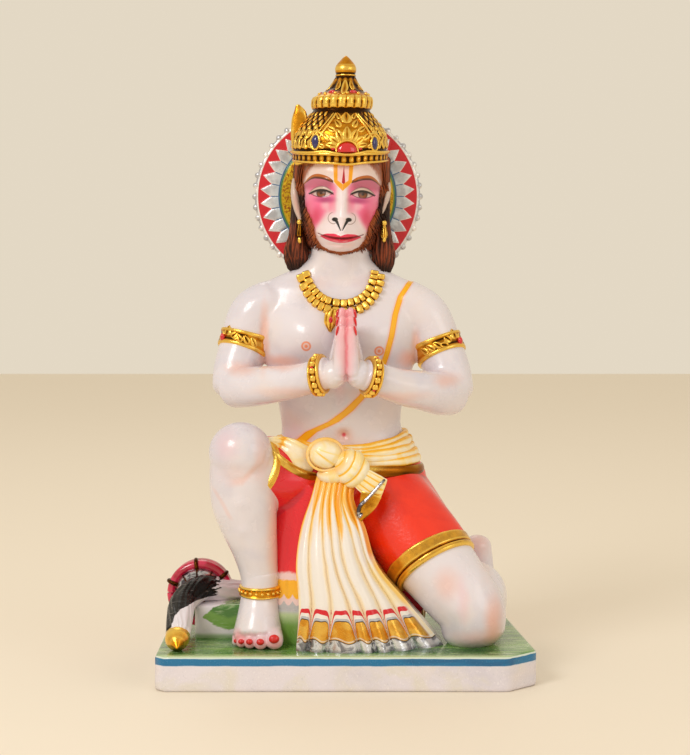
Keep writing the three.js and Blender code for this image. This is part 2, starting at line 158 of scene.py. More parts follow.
def smoothPath(points, closed=False):
    # A centripetal curve through the points, as a function of t from 0 to 1.
    points = np.asarray(points, float)
    spans = len(points) if closed else len(points) - 1
    before = points[-1] if closed else 2 * points[0] - points[1]
    after = points[:2] if closed else [2 * points[-1] - points[-2]]
    padded = np.vstack([before, points, after])
    gaps = np.maximum(np.sqrt(np.linalg.norm(np.diff(padded, axis=0), axis=1)), 1e-3)[:, None]

    def at(t):
        t = np.asarray(t, float)
        place = (t % 1 if closed else np.clip(t, 0, 1)) * spans
        i = np.minimum(place.astype(int), spans - 1)
        w = (place - i)[:, None]
        a, b, c, d = (padded[i + k] for k in range(4))
        ab, bc, cd = (gaps[i + k] for k in range(3))
        leaving = bc * ((b - a) / ab - (c - a) / (ab + bc)) + (c - b)
        arriving = (c - b) - bc * ((d - b) / (bc + cd) - (d - c) / cd)
        return (
            b + leaving * w + (3 * (c - b) - 2 * leaving - arriving) * w**2
            + (2 * (b - c) + leaving + arriving) * w**3
        )

    return at


def lengthOne(vectors):
    return vectors / np.maximum(np.linalg.norm(vectors, axis=-1, keepdims=True), 1e-12)


def bell(x, width):
    return np.exp(-((x / width) ** 2))


def onLimb(stations, across=(1, 0, 0)):
    # Gives the place on a limb's skin at (t along it, turn round it), some way out, as a function.
    full = np.array([[*row, *[row[3]] * (5 - len(row))] for row in stations], float)
    spine, size = smoothPath(full[:, :3]), smoothPath(full[:, 3:])
    across = np.array(across, float)
    step = 0.004

    def at(t, turn, out=0.0, ahead=0.0, reach=1.0):
        along = lengthOne(spine(t + step) - spine(t - step))
        side = lengthOne(across - along * (along @ across)[:, None])
        front = np.cross(along, side)
        halves = size(t) + np.reshape(out, (-1, 1))
        ring = side * (halves[:, 0] * np.cos(turn))[:, None] + front * (halves[:, 1] * np.sin(turn))[:, None]
        return (
            spine(t) + along * np.reshape(ahead * halves.min(axis=1), (-1, 1))
            + ring * np.reshape(reach, (-1, 1))
        )

    return at


def limb(name, stations, across=(1, 0, 0), columns=36, rows=40, start=0, stop=1, swell=0, blunt=0.6,
         relief=None, notes=None):
    # A rounded limb through stations (x, y, z, half width, half depth), with round ends.
    skin = onLimb(stations, across)
    capShare = 0.14 if blunt else 1e-6

    def shape(u, v):
        turn = 2 * math.pi * u
        first, last = (end(turn) if callable(end) else end for end in (start, stop))
        t = first + (last - first) * np.clip((v - capShare) / (1 - 2 * capShare), 0, 1)
        beyond = np.where(v < capShare, v - capShare, np.maximum(v - 1 + capShare, 0)) / capShare
        beyond = beyond if blunt else 0 * v
        out = swell + (relief(turn, t) if relief else 0 * t)
        return skin(t, turn, out, np.sin(beyond * math.pi / 2) * blunt, np.cos(beyond * math.pi / 2))

    return bentGrid(name, columns, rows, shape, notes)


def ball(name, centre, halves, turned=(0, 0, 0), columns=32, rows=20, square=1.0):
    # A ball stretched to its half sizes and turned, in degrees about x, y and z. Below 1, square makes it
    # boxy.
    def shape(u, v):
        turn, climb = 2 * math.pi * u, math.pi * (v - 0.5)
        places = np.stack([np.cos(climb) * np.cos(turn), np.cos(climb) * np.sin(turn), np.sin(climb)], 1)
        places = np.sign(places) * np.abs(places) ** square * halves
        for axis, angle in enumerate(np.radians(turned)):
            a, b = [(1, 2), (2, 0), (0, 1)][axis]
            places[:, a], places[:, b] = (
                places[:, a] * math.cos(angle) - places[:, b] * math.sin(angle),
                places[:, a] * math.sin(angle) + places[:, b] * math.cos(angle),
            )
        return places + centre

    return bentGrid(name, columns, rows, shape)


def rope(name, points, radius, closed=False, columns=14, rows=90, flat=1.0, notes=None):
    # A round cord along a curve: radius may be a number or a function of t, and flat squeezes it sideways.
    path = smoothPath(points, closed)

    def shape(u, v):
        t = v * (1 - 1e-9) if closed else v
        along = lengthOne(path((t + 0.003)) - path((t - 0.003)))
        side = lengthOne(np.cross(along, (0.02, 0.03, 1.0)))
        up = np.cross(side, along)
        turn = 2 * math.pi * u
        r = radius(t) if callable(radius) else np.full(len(t), float(radius))
        if not closed:
            r = r * np.sqrt(np.clip(1 - (2 * t - 1) ** 16, 0, 1))
        return path(t) + side * (r * flat * np.cos(turn))[:, None] + up * (r * np.sin(turn))[:, None]

    return bentGrid(name, columns, rows, shape, notes)


def press(piece, dents):
    # Moves the skin in or out around points: (x, y, z, reach, how far out), all in units.
    corners, normals = inUnits(cornersOf(piece)), normalsOf(piece)
    for x, y, z, reach, out in dents:
        near = np.exp(-((np.linalg.norm(corners - (x, y, z), axis=1) / reach) ** 2))
        corners = corners + normals * (near * out)[:, None]
    return moveCorners(piece, inMetres(corners))


def distanceTo(corners, points):
    # How far each corner is from a line through the points.
    nearest = np.full(len(corners), np.inf)
    for a, b in zip(points, points[1:]):
        a, b = np.array(a, float), np.array(b, float)
        share = np.clip(((corners - a) @ (b - a)) / ((b - a) @ (b - a)), 0, 1)
        nearest = np.minimum(nearest, np.linalg.norm(corners - a - share[:, None] * (b - a), axis=1))
    return nearest


def engrave(piece, points, width, out):
    # A line carved into the skin, or raised on it where out is positive.
    corners, normals = inUnits(cornersOf(piece)), normalsOf(piece)
    line = smoothPath(points)(np.linspace(0, 1, 4 * len(points)))
    near = np.exp(-((distanceTo(corners, line) / width) ** 2))
    return moveCorners(piece, inMetres(corners + normals * (near * out)[:, None]))


def onFront(piece, points):
    # Where points given by x and z lie on the front of a piece.
    bpy.context.view_layer.update()
    return [skinAt(piece, x, z)[0] for x, z in points]


def markHollows(piece, rounds, reach):
    # Notes as "hollow" how far each corner lies below its surroundings, in units.
    corners, normals = cornersOf(piece), normalsOf(piece)
    edges = np.empty(len(piece.data.edges) * 2, dtype=np.int64)
    piece.data.edges.foreach_get("vertices", edges)
    a, b = edges[::2], edges[1::2]
    count = len(corners)
    neighbours = np.maximum(np.bincount(a, minlength=count) + np.bincount(b, minlength=count), 1)
    smooth = corners.copy()
    for _ in range(rounds):
        sums = [
            np.bincount(a, weights=smooth[b, axis], minlength=count)
            + np.bincount(b, weights=smooth[a, axis], minlength=count)
            for axis in range(3)
        ]
        smooth = np.stack(sums, 1) / neighbours[:, None]
    depth = ((smooth - corners) * normals).sum(1) / unit
    return note(piece, "hollow", np.clip(depth / reach, -1, 1))


def finished(piece, material, hollows=None):
    # hollows gives the rounds and reach of markHollows where the paint needs it.
    if hollows:
        markHollows(piece, *hollows)
    piece.data.materials.clear()
    piece.data.materials.append(material)
    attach(piece, block["body"])
    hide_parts(block["node"])
    pieces.append(piece)
    return piece


# A Level is one number that varies over the surface. Reckoning with it adds nodes to the paint.
class Level:
    def __init__(self, paint, socket):
        self.paint, self.socket = paint, socket

    def maths(self, operation, *others):
        return Level(self.paint, self.paint.node("Math", {"operation": operation}, {
            i: value for i, value in enumerate((self, *others))
        }).outputs[0])

    def __add__(self, other):
        return self.maths("ADD", other)

    __radd__ = __add__

    def __mul__(self, other):
        return self.maths("MULTIPLY", other)

    __rmul__ = __mul__

    def __sub__(self, other):
        return self.maths("SUBTRACT", other)

    def __rsub__(self, other):
        return self * -1 + other

    def __truediv__(self, other):
        return self.maths("DIVIDE", other)

    def __pow__(self, other):
        return self.maths("POWER", other)

    def size(self):
        return self.maths("ABSOLUTE")

    def least(self, other):
        return self.maths("MINIMUM", other)

    def sine(self):
        return self.maths("SINE")

    def rise(self, low, high):
        # 0 below low, 1 above high, and smooth between them.
        made = self.paint.node("MapRange", {"interpolation_type": "SMOOTHSTEP"}, {
            "Value": self, "From Min": low, "From Max": high,
        })
        return Level(self.paint, made.outputs[0])

    def fall(self, low, high):
        return 1 - self.rise(low, high)

    def near(self, centre, width):
        return (self - centre).size().fall(0, width)

    def within(self, low, high, soft=0.4):
        return self.rise(low - soft, low + soft) * self.fall(high - soft, high + soft)

    def root(self):
        return self.maths("SQRT")

    def turnFrom(self, other):
        return self.maths("ARCTAN2", other)

    def fraction(self):
        return self.maths("FRACT")

    def follow(self, points):
        # A line through (from, to) pairs, level outside them.
        total = points[0][1]
        for (x0, y0), (x1, y1) in zip(points, points[1:]):
            made = self.paint.node("MapRange", {}, {
                "Value": self, "From Min": x0, "From Max": x1, "To Min": 0.0, "To Max": y1 - y0,
            })
            total = Level(self.paint, made.outputs[0]) + total
        return total


def oval(across, wide, up, high):
    # 0 in the middle of an oval and 1 on its edge.
    return ((across * (1 / wide)) ** 2 + (up * (1 / high)) ** 2).root()


def linear(colour):
    # A colour given as it looks on screen, 0 to 255.
    shares = np.array(colour, float) / 255
    return (*np.where(shares <= 0.04045, shares / 12.92, ((shares + 0.055) / 1.055) ** 2.4), 1.0)


class Paint:
    def __init__(self, name):
        self.material = bpy.data.materials.new(name)
        self.material.use_nodes = True
        self.tree = self.material.node_tree
        self.tree.nodes.clear()
        self.places = self.node("TexCoord").outputs["Object"]

    def node(self, kind, settings=None, inputs=None):
        made = self.tree.nodes.new("ShaderNode" + kind)
        for name, value in (settings or {}).items():
            setattr(made, name, value)
        for name, value in (inputs or {}).items():
            socket = made.inputs[name]
            if isinstance(value, Level):
                value = value.socket
            if isinstance(value, bpy.types.NodeSocket):
                self.tree.links.new(value, socket)
            else:
                socket.default_value = value
        return made

    def axes(self):
        # The place on the carving, in its own units.
        split = self.node("SeparateXYZ", {}, {0: self.places})
        return [Level(self, split.outputs[i]) * (1 / unit) - float(carvingOrigin[i] / unit) for i in range(3)]

    def noted(self, name):
        return Level(self, self.node("Attribute", {"attribute_name": name}).outputs["Fac"])

    def stretched(self, scale, turned=(0, 0, 0)):
        # Object coordinates in units, squeezed along each axis, for grain that runs one way.
        made = self.node("Mapping", {}, {
            "Vector": self.places, "Scale": tuple(s / unit for s in scale), "Rotation": turned,
        })
        return made.outputs[0]

    def noise(self, scale, detail=3.0, rough=0.55, warp=0.0, vector=None):
        # Soft noise around 0.5, scale in waves per unit.
        made = self.node("TexNoise", {}, {
            "Vector": vector or self.stretched((scale, scale, scale)),
            "Scale": 1.0, "Detail": detail, "Roughness": rough, "Distortion": warp,
        })
        return Level(self, made.outputs["Fac"])

    def mix(self, share, a, b):
        made = self.node("Mix", {"data_type": "RGBA"}, {0: share, 6: a, 7: b})
        return made.outputs[2]

    def blend(self, share, a, b):
        return Level(self, self.node("Mix", {"data_type": "FLOAT"}, {0: share, 2: a, 3: b}).outputs[0])

    def coats(self, base, layers):
        # Paint laid over paint: layers of (share, colour) over the base colour.
        colour = base
        for share, over in layers:
            colour = self.mix(share, colour, over)
        return colour

    def gloss(
        self, colour, roughness=0.2, metallic=0.0, coat=0.0, bump=None, depth=0.2, under=0.0, shine=0.5
    ):
        # The finished surface: depth is the bump's height in units, and under lets light into the stone.
        inputs = {"Base Color": colour, "Roughness": roughness, "Metallic": metallic,
                  "Coat Weight": coat, "Coat Roughness": 0.06, "Specular IOR Level": shine}
        if under:
            inputs["Subsurface Weight"] = under
            inputs["Subsurface Radius"] = (1.0, 0.7, 0.55)
            inputs["Subsurface Scale"] = 0.004
        if bump is not None:
            made = self.node("Bump", {}, {"Height": bump, "Strength": 1.0, "Distance": depth * unit})
            inputs["Normal"] = made.outputs[0]
        shader = self.node("BsdfPrincipled", {}, inputs)
        self.node("OutputMaterial", {}, {"Surface": shader.outputs[0]})
        return self.material


colours = {  # as they look on screen, 0 to 255
    "marble": (227, 221, 229),
    "marbleCool": (206, 202, 216),
    "marbleWarm": (231, 221, 221),
    "vein": (188, 183, 194),
    "stoneWarm": (222, 216, 200),
    "stoneGrey": (176, 178, 186),
    "blush": (240, 160, 120),
    "pink": (243, 150, 158),
    "rose": (226, 60, 84),
    "nipple": (236, 138, 92),
    "skin": (232, 210, 210),
    "skinPale": (236, 222, 227),
    "skinWarm": (230, 204, 192),
    "skinPink": (240, 190, 190),
    "earPale": (206, 186, 176),
    "earPink": (206, 150, 136),
    "roseLight": (236, 138, 176),
    "duskRose": (188, 92, 120),
    "roseDeep": (240, 84, 138),
    "cheekRed": (216, 38, 88),
    "plum": (176, 58, 116),
    "plumDark": (116, 26, 62),
    "lidCream": (206, 184, 168),
    "eyeWhite": (204, 176, 172),
    "iris": (136, 74, 26),
    "irisDark": (56, 28, 12),
    "lash": (26, 12, 16),
    "browBrown": (84, 36, 12),
    "amber": (186, 98, 18),
    "tilak": (238, 160, 20),
    "umber": (112, 72, 58),
    "lip": (232, 44, 82),
    "lipRed": (178, 6, 28),
    "lipDark": (120, 10, 30),
    "furWarm": (160, 84, 42),
    "furDark": (44, 19, 9),
    "furSheen": (120, 112, 112),
    "hair": (44, 20, 12),
    "hairLight": (150, 70, 38),
    "hairDark": (14, 6, 4),
    "gold": (220, 150, 32),
    "goldLight": (255, 216, 104),
    "goldDark": (52, 26, 3),
    "goldDeep": (150, 84, 8),
    "leafGold": (206, 168, 30),
    "copper": (186, 92, 48),
    "vermilion": (240, 48, 8),
    "flame": (222, 34, 4),
    "crimson": (228, 8, 58),
    "deepRed": (142, 8, 12),
    "borderRed": (214, 10, 34),
    "crimsonDark": (168, 8, 44),
    "enamelHighlight": (222, 40, 90),
    "nailRed": (214, 14, 22),
    "gemRed": (206, 2, 16),
    "gemBlue": (14, 10, 92),
    "pinkPale": (238, 208, 210),
    "saffron": (250, 184, 20),
    "saffronDeep": (236, 146, 6),
    "saffronPale": (250, 220, 122),
    "cream": (246, 236, 208),
    "clothWhite": (238, 232, 226),
    "white": (240, 238, 238),
    "silver": (186, 187, 194),
    "silverPale": (226, 228, 234),
    "silverDark": (84, 82, 92),
    "green": (112, 158, 66),
    "greenDark": (52, 112, 40),
    "greenDeep": (8, 84, 10),
    "greenPale": (188, 208, 160),
    "olive": (134, 152, 26),
    "blue": (0, 112, 162),
    "blueDeep": (0, 78, 128),
    "bluePale": (160, 200, 222),
    "bluePaint": (30, 92, 150),
    "paleEdge": (214, 226, 214),
    "black": (12, 10, 10),
}
tint = {name: linear(value) for name, value in colours.items()}

# The camera stands in front of the statue, a little above its middle. away and up are in units.
camera = {"away": 1985.8, "up": 406.6, "lookDown": 3.868, "focal": 1894.0, "pictureHeight": 755, "sensor": 36}


def setCamera():
    lens = bpy.data.cameras.new("camera")
    lens.sensor_fit = "VERTICAL"
    lens.sensor_height = camera["sensor"]
    lens.lens = camera["focal"] / camera["pictureHeight"] * camera["sensor"]
    lens.clip_start, lens.clip_end = 0.05, 30
    eye = bpy.data.objects.new("camera", lens)
    eye.location = inMetres((0, -camera["away"], camera["up"]))
    eye.rotation_euler = (math.radians(90 - camera["lookDown"]), 0, 0)
    bpy.context.collection.objects.link(eye)
    bpy.context.scene.camera = eye


studio = {
    "floorSize": 9.0,
    "floorColour": (242, 232, 216),
    "airColour": (243, 231, 210),
    "airStrength": 0.86,
    "lamps": [  # place, aim and size in metres, then watts
        {"name": "key", "at": (-1.5, -1.9, 1.9), "aim": (0, 0, 0.34), "size": 1.0, "watts": 29},
        {"name": "fill", "at": (1.9, -1.6, 1.1), "aim": (0, 0, 0.3), "size": 1.2, "watts": 6},
        {"name": "rim", "at": (-0.3, 1.7, 2.3), "aim": (0, 0, 0.4), "size": 1.0, "watts": 4},
    ],
}


def setStudio():
    bpy.ops.object.select_all(action="DESELECT")
    bpy.ops.mesh.primitive_plane_add(size=studio["floorSize"])
    floor = bpy.context.object
    floor.name = "floor"
    paint = Paint("floor paper")
    floor.data.materials.append(paint.gloss(linear(studio["floorColour"]), roughness=0.75))
    for lamp in studio["lamps"]:
        light = bpy.data.lights.new(lamp["name"], "AREA")
        light.shape, light.size, light.energy = "SQUARE", lamp["size"], lamp["watts"]
        stand = bpy.data.objects.new(lamp["name"], light)
        stand.location = lamp["at"]
        gaze = np.array(lamp["aim"]) - np.array(lamp["at"])
        stand.rotation_euler = (
            math.acos(-gaze[2] / np.linalg.norm(gaze)), 0, math.atan2(gaze[1], gaze[0]) - math.pi / 2)
        bpy.context.collection.objects.link(stand)
    air = bpy.data.worlds.new("air")
    air.use_nodes = True
    backdrop = air.node_tree.nodes["Background"]
    backdrop.inputs["Color"].default_value = linear(studio["airColour"])
    backdrop.inputs["Strength"].default_value = studio["airStrength"]
    bpy.context.scene.world = air
    bpy.context.scene.view_settings.view_transform = "Standard"


setCamera()
setStudio()
print("camera and studio set")

# The body's spines: stations (x, y, z, half width, half depth).
body = {
    "middle": -5,
    "trunk": [
        (6, 18, 120, 58, 34), (4, 12, 160, 70, 40), (1, 9, 192, 70, 40), (-4, 6, 222, 63, 36),
        (-5, 5, 250, 66, 37), (-5, 4, 278, 75, 38), (-6, 4, 306, 84, 38), (-6, 5, 332, 88, 36),
        (-7, 8, 352, 86, 32), (-7, 10, 368, 84, 27), (-7, 11, 379, 63, 25), (-6, 11, 388, 44, 26),
        (-5, 9, 400, 31, 27), (-4, 7, 425, 30, 28),
    ],
    "rightUpperArm": [
        (-76, 9, 352, 24.5), (-95, 9, 338, 27), (-105, 5, 308, 24.5, 26), (-114, -5, 280, 22.5, 24),
        (-117, -11, 263, 22),
    ],
    "leftUpperArm": [
        (62, 9, 352, 24.5), (83, 9, 336.5, 26.5), (97, 5, 306, 24, 25.5), (108, -5, 278, 23, 24),
        (111, -11, 259, 23.5),
    ],
    "rightForearm": [
        (-116, -13, 263, 21.5), (-98, -32, 265, 21), (-77, -47, 268, 19.5), (-54, -61, 272, 17.5),
        (-35, -71, 277, 16.5), (-17, -78, 283, 18, 16),
    ],
    "leftForearm": [
        (110, -13, 257, 23.5), (97, -31, 258, 22.5), (80, -45, 262, 20.5), (56, -60, 267, 18.5),
        (37, -71, 274, 16.8), (19.5, -78, 281, 18, 16),
    ],
    "raisedThigh": [
        (-38, 20, 148, 48, 46), (-64, -8, 167, 45, 43), (-90, -38, 178, 33.5, 34), (-106, -60, 189, 29, 29)
    ],
    "raisedShin": [
        (-107, -64, 208, 24, 24), (-107.5, -61, 192, 30, 29), (-106.5, -57, 172, 32.5, 31.5),
        (-103.7, -50, 148, 33.6, 34.5), (-98.8, -46, 122, 29.2, 32), (-92.3, -44, 94, 23, 27),
        (-88, -44, 66, 19.4, 21), (-88, -43, 42, 19.6, 22),
    ],
    "kneelingThigh": [
        (34, 14, 150, 50, 48), (58, -4, 122, 47, 46), (82, -20, 94, 44, 43), (110, -36, 60, 39, 39),
        (130, -47, 34, 36, 36), (133, -48, 14, 33, 33),
    ],
    "kneecap": ((-106.5, -62.5, 199.5), (32.5, 30.5, 31.5)),
    "kneelingShin": [
        (133, -34, 34, 34, 34), (137, 6, 38, 35, 38), (143, 46, 34, 31, 33), (148, 78, 26, 23, 24)
    ],
    "heelUp": [(150, 82, 22, 20), (149, 92, 52, 16, 15), (145.5, 92, 79, 16.5, 14.5)],
    "swellings": [  # x, z, half width, half height, how far out of the chest and belly
        (-43, 318, 30, 24, 12), (33, 318, 30, 24, 12), (-41, 288, 26, 9, -3), (31, 288, 26, 9, -3),
        (-25, 366, 14, 7, 2.5), (15, 366, 14, 7, 2.5), (-5, 322, 6, 26, -5), (-5, 232, 34, 26, 7),
    ],
    "wristAt": 0.86,  # the arms stop here, under the bracelets
    "grain": 2.4,
    "softening": 5,
    "dents": [  # x, y, z, reach, how far out
        (-1.2, -34, 215, 4.5, -5), (-40, -44, 307.3, 4.2, 1.3), (35.2, -44, 302.1, 4.2, 1.3),
        (-78, -26, 300, 9, -2.5), (70, -26, 298, 9, -2.5), (-92, -20, 276, 9, -2), (86, -20, 268, 9, -2),
    ],
}


def torsoForm():
    spine = smoothPath([row[:3] for row in body["trunk"]])
    size = smoothPath([row[3:] for row in body["trunk"]])

    def shape(u, v):
        turn = 2 * math.pi * u
        centre, halves = spine(v), size(v)
        x = centre[:, 0] + halves[:, 0] * np.cos(turn)
        out = sum(
            stands * np.exp(-(((x - atX) / wide) ** 2) - ((centre[:, 2] - atZ) / high) ** 2)
            for atX, atZ, wide, high, stands in body["swellings"]
        )
        y = centre[:, 1] + halves[:, 1] * np.sin(turn) - out * np.sqrt(np.clip(-np.sin(turn), 0, 1))
        spineFurrow = (
            4 * bell(x - body["middle"], 7) * np.clip(np.sin(turn), 0, 1) * bell(centre[:, 2] - 300, 90)
        )
        blades = (
            4 * bell(abs(x - body["middle"]) - 38, 20) * bell(centre[:, 2] - 330, 26)
            * np.clip(np.sin(turn), 0, 1)
        )
        return np.stack([x, y - spineFurrow + blades, centre[:, 2]], 1)

    return bentGrid("torso", 100, 90, shape)


def bareBody(material):
    upper = [
        limb(name, body[name], across=(0, 1, 0), columns=44) for name in ("rightUpperArm", "leftUpperArm")
    ]
    lower = [
        limb(name, body[name], across=(0, 1, 0), columns=44, stop=body["wristAt"], blunt=0.15)
        for name in ("rightForearm", "leftForearm")
    ]
    skin = blended("torso_and_arms", [torsoForm(), *upper, *lower], body["grain"], body["softening"])
    press(skin, body["dents"])
    return finished(skin, material)


hands = {
    "seam": 1.3,
    # how far forward, and the height of the tip
    "fingers": [(-93.5, 333), (-82, 342), (-70.5, 349.5), (-59.5, 343)],
    "knuckleHeight": 302,
    "palm": [
        (9.2, -80, 276, 9, 17), (7.6, -79, 288, 8.4, 19.5), (6.7, -78, 302, 7.2, 20),
        (5.9, -77, 316, 6.0, 20)
    ],
    "thumb": [(12.5, -63, 282, 8), (10, -54, 299, 7), (7, -49, 316, 5.6), (5.5, -48, 327, 4.4)],
    "fingerHalves": (6.1, 6.4),
    "tipHalves": (3.9, 4.6),
    "grain": 1.1,
    "softening": 2,
    "nail": (1.4, 3.2, 5.0),
}


def oneHand(side):
    # side is -1 for the figure's right hand, on the viewer's left.
    seam = hands["seam"]
    parts = []
    for number, (y, tip) in enumerate(hands["fingers"]):
        x = seam + side * (hands["fingerHalves"][0] + 0.2)
        tipX = seam + side * (hands["tipHalves"][0] + 0.5)
        parts.append(limb(f"finger{number}", [
            (x + side * 1.0, y * 0.94 - 4.5, 284, 6.8, 7),
            (x, y, hands["knuckleHeight"], *hands["fingerHalves"]), (x - side * 0.7, y, tip - 22, 5.5, 6.1),
            (x - side * 1.2, y, tip - 12, 5.0, 5.7), (tipX, y, tip - 5, *hands["tipHalves"]),
        ], columns=20, rows=30, blunt=0.95))
    palm, thumb = ([(seam + side * out, *rest) for out, *rest in hands[name]] for name in ("palm", "thumb"))
    parts.append(limb("palm", palm, columns=30, rows=24))
    heel = (seam + side * 13.5, -80, 281)
    parts.append(ball("heelOfHand", heel, (14, 17, 15), turned=(0, side * -20, 0), columns=28, rows=20))
    parts.append(limb("thumb", thumb, columns=20, rows=24, blunt=0.9))
    forearm = body["rightForearm" if side < 0 else "leftForearm"]
    parts.append(
        limb("wrist", forearm, across=(0, 1, 0), start=0.85, stop=1, columns=32, rows=20, blunt=0.15)
    )
    return parts


def joinedHands(material, nailMaterial):
    skin = blended("joined_hands", oneHand(-1) + oneHand(1), hands["grain"], hands["softening"])
    finished(skin, material)
    nails = []
    for side in (-1, 1):
        for number, (y, tip) in enumerate(hands["fingers"]):
            at = (hands["seam"] + side * 9.0, y - 1.6, tip - 7.5)
            turned = (0, side * -12, side * 8)
            nails.append(ball(f"nail{side}{number}", at, hands["nail"], turned, columns=16, rows=10))
    return finished(joined("finger_nails", nails), nailMaterial)


legs = {
    "grain": 2.3,
    "softening": 4,
    "dents": [
        (-86, -82, 182, 7, -1.6), (-126, -80, 182, 7, -1.6), (-107, -86, 150, 7, 1.5),
        (-103, -76, 122, 6, 1.2), (-70, -40, 50, 6, 2.2), (-108, -38, 54, 6, 2.6),
    ],
    "kneeCrease": [(-79, 200), (-84, 188), (-94, 180), (-106, 175), (-119, 175.5)],
    "toes": [  # x, how far forward the tip is, radius
        (-72, -88, 9.2), (-86, -87, 6.8), (-97.2, -82.5, 6.2), (-106, -76, 5.4), (-111.6, -67.5, 4.6),
    ],
    "footGrain": 1.15,
    "nailHalves": (0.6, 0.5, 0.52),
    "instep": [
        (-88, 2, 15, 16, 15), (-88, -30, 24, 19, 22), (-88.5, -54, 17, 23, 16), (-89, -68, 10, 24.5, 10.5)
    ],
    "kneelingDents": [
        (118, -80, 44, 13, 2.2), (136, -70, 70, 10, 1.6), (152, 30, 66, 14, -2), (158, -28, 62, 10, -2)
    ],
    "ankle": [
        (-88, -44, 74, 19.6, 22), (-88, -43, 52, 19.4, 21.5), (-88.8, -45, 37, 20.8, 23.5),
        (-89.6, -50, 22, 23.2, 26), (-90.4, -56, 9, 25.4, 26)
    ],
}


def raisedLeg(material, footMaterial, nailMaterial):
    skin = blended("right_leg", [
        limb("thigh", body["raisedThigh"], columns=48, start=0.2, blunt=0.2),
        limb("shin", body["raisedShin"], columns=48, rows=70, stop=0.93),
        ball("kneecap", *body["kneecap"], columns=48, rows=36),
    ], legs["grain"], legs["softening"])
    press(skin, legs["dents"])
    engrave(skin, onFront(skin, legs["kneeCrease"]), 3.4, -0.9)
    finished(skin, material)
    instep = limb("instep", legs["instep"], columns=44)
    ankle = limb("ankle", legs["ankle"], columns=44, blunt=0.3)
    toes = [
        limb("toe", [
            (x * 0.9 - 8.9, tip + 30, 13, r, r), (x, tip + 14, 9.5, r, r * 0.94),
            (x, tip + r * 0.75, r * 0.86, r * 0.97, r * 0.86),
        ], columns=20, rows=24, blunt=0.8)
        for x, tip, r in legs["toes"]
    ]
    foot = blended("right_foot", [instep, ankle, *toes], legs["footGrain"], 2)
    for (xa, tipA, ra), (xb, tipB, rb) in zip(legs["toes"], legs["toes"][1:]):
        gap, tip = (xa - ra + xb + rb) / 2, max(tipA, tipB)
        engrave(foot, [(gap, tip - 2, 4), (gap, tip + 6, 13), (gap * 0.97 - 2.5, tip + 19, 21)], 1.7, -1.0)
    finished(foot, footMaterial)
    nails = []
    for x, tip, r in legs["toes"]:
        halves = [r * share for share in legs["nailHalves"]]
        nails.append(
            ball("toenail", (x, tip + r * 0.18, r * 1.32), halves, turned=(40, 0, 0), columns=18, rows=12)
        )
    return finished(joined("toe_nails", nails), nailMaterial)


def kneelingLeg(material):
    skin = blended("left_leg", [
        limb("thigh", body["kneelingThigh"], columns=50, rows=50, start=0.12),
        limb("shin", body["kneelingShin"], columns=50, rows=40),
        limb("heel", body["heelUp"], columns=30, rows=30, blunt=0.9),
        ball("toesUnder", (150, 92, 8), (19, 14, 11)),
        *[
            ball("toe", (134 + 8 * i, 84 - 1.2 * abs(i - 1), 6), (5, 11, 6), columns=16, rows=12)
            for i in range(5)
        ],
    ], legs["grain"], legs["softening"])
    press(skin, legs["kneelingDents"])
    return finished(skin, material)


# The head is shaped upright about the point between the eyes, p to the viewer's right and q up, then leaned.
head = {
    "between": (-3.1, 4.0, 463.4),
    "leans": 1.8,
    "sections": [  # q, half width, half depth
        (-61.8, 13, 16), (-56.6, 23, 27), (-48, 30, 35), (-35.4, 35, 42), (-17.4, 39.5, 44), (4.6, 42, 45),
        (24.6, 42, 44), (44.6, 36, 40),
    ],
    "eye": {
        "p": 21.1, "q": -0.2, "half": 11.6, "up": 3.5, "down": 3.6, "lid": 3.9, "foldBeyond": 2.2,
        "iris": (21.4, 0.3), "irisSize": 5.1
    },
    "mouthHalf": 24,
    "faceEdge": [  # q and the half width of the bare skin there; the fur starts outside it
        (-60, 2), (-58.2, 13), (-54.5, 20.5), (-48, 24.5), (-40, 26.6), (-30, 29.6), (-18, 35.5), (-13, 38),
        (-5, 39.2), (8, 40.6), (15, 39), (25, 34), (33, 25),
    ],
    "ears": [  # p, y, q, half width, half depth: the head is turned a little, so the far ear shows less
        [(-51, 0, 15, 1.4, 2), (-50.4, -3, 7, 3.2, 6.5), (-48.6, -5, -5, 4.4, 8.5), (-45.6, -6, -17, 4.0, 8),
         (-42.4, -7, -27, 2.8, 6), (-40.4, -7, -34, 1.3, 2)],
        [
            (48.8, 0, 14, 1.4, 2), (48.2, -3, 6, 2.8, 6), (45.6, -5, -5, 3.6, 8), (42.4, -6, -15, 3.1, 7),
            (39.6, -7, -22, 1.2, 2)
        ],
    ],
}


def acrossEye(side, beyond=0):
    # -1 at the inner corner of an eye and 1 at the outer one.
    eye = head["eye"]
    return (side - eye["p"]) * (1 / (eye["half"] + beyond))


def upperLash(side):
    across = acrossEye(side)
    return head["eye"]["q"] + (1 - across * across) * head["eye"]["up"]


def lowerLash(side):
    across = acrossEye(side)
    return head["eye"]["q"] - (1 - across * across) * head["eye"]["down"]


def lidFold(side):
    eye = head["eye"]
    across = acrossEye(side, eye["foldBeyond"])
    return eye["q"] + (1 - across * across) * (eye["up"] + eye["lid"])


def lipLine(p):
    return -45.7 + p * p * 0.0088


def upperLip(side):
    # The two humps of the upper lip, either side of the dip under the nose.
    hump = (side - 10.5) * (side - 10.5)
    return -40.9 - hump * 0.0275


def lowerLip(p):
    return -49.9 + p * p * 0.0145


def step(x, width):
    return 0.5 + 0.5 * np.tanh(x / width)


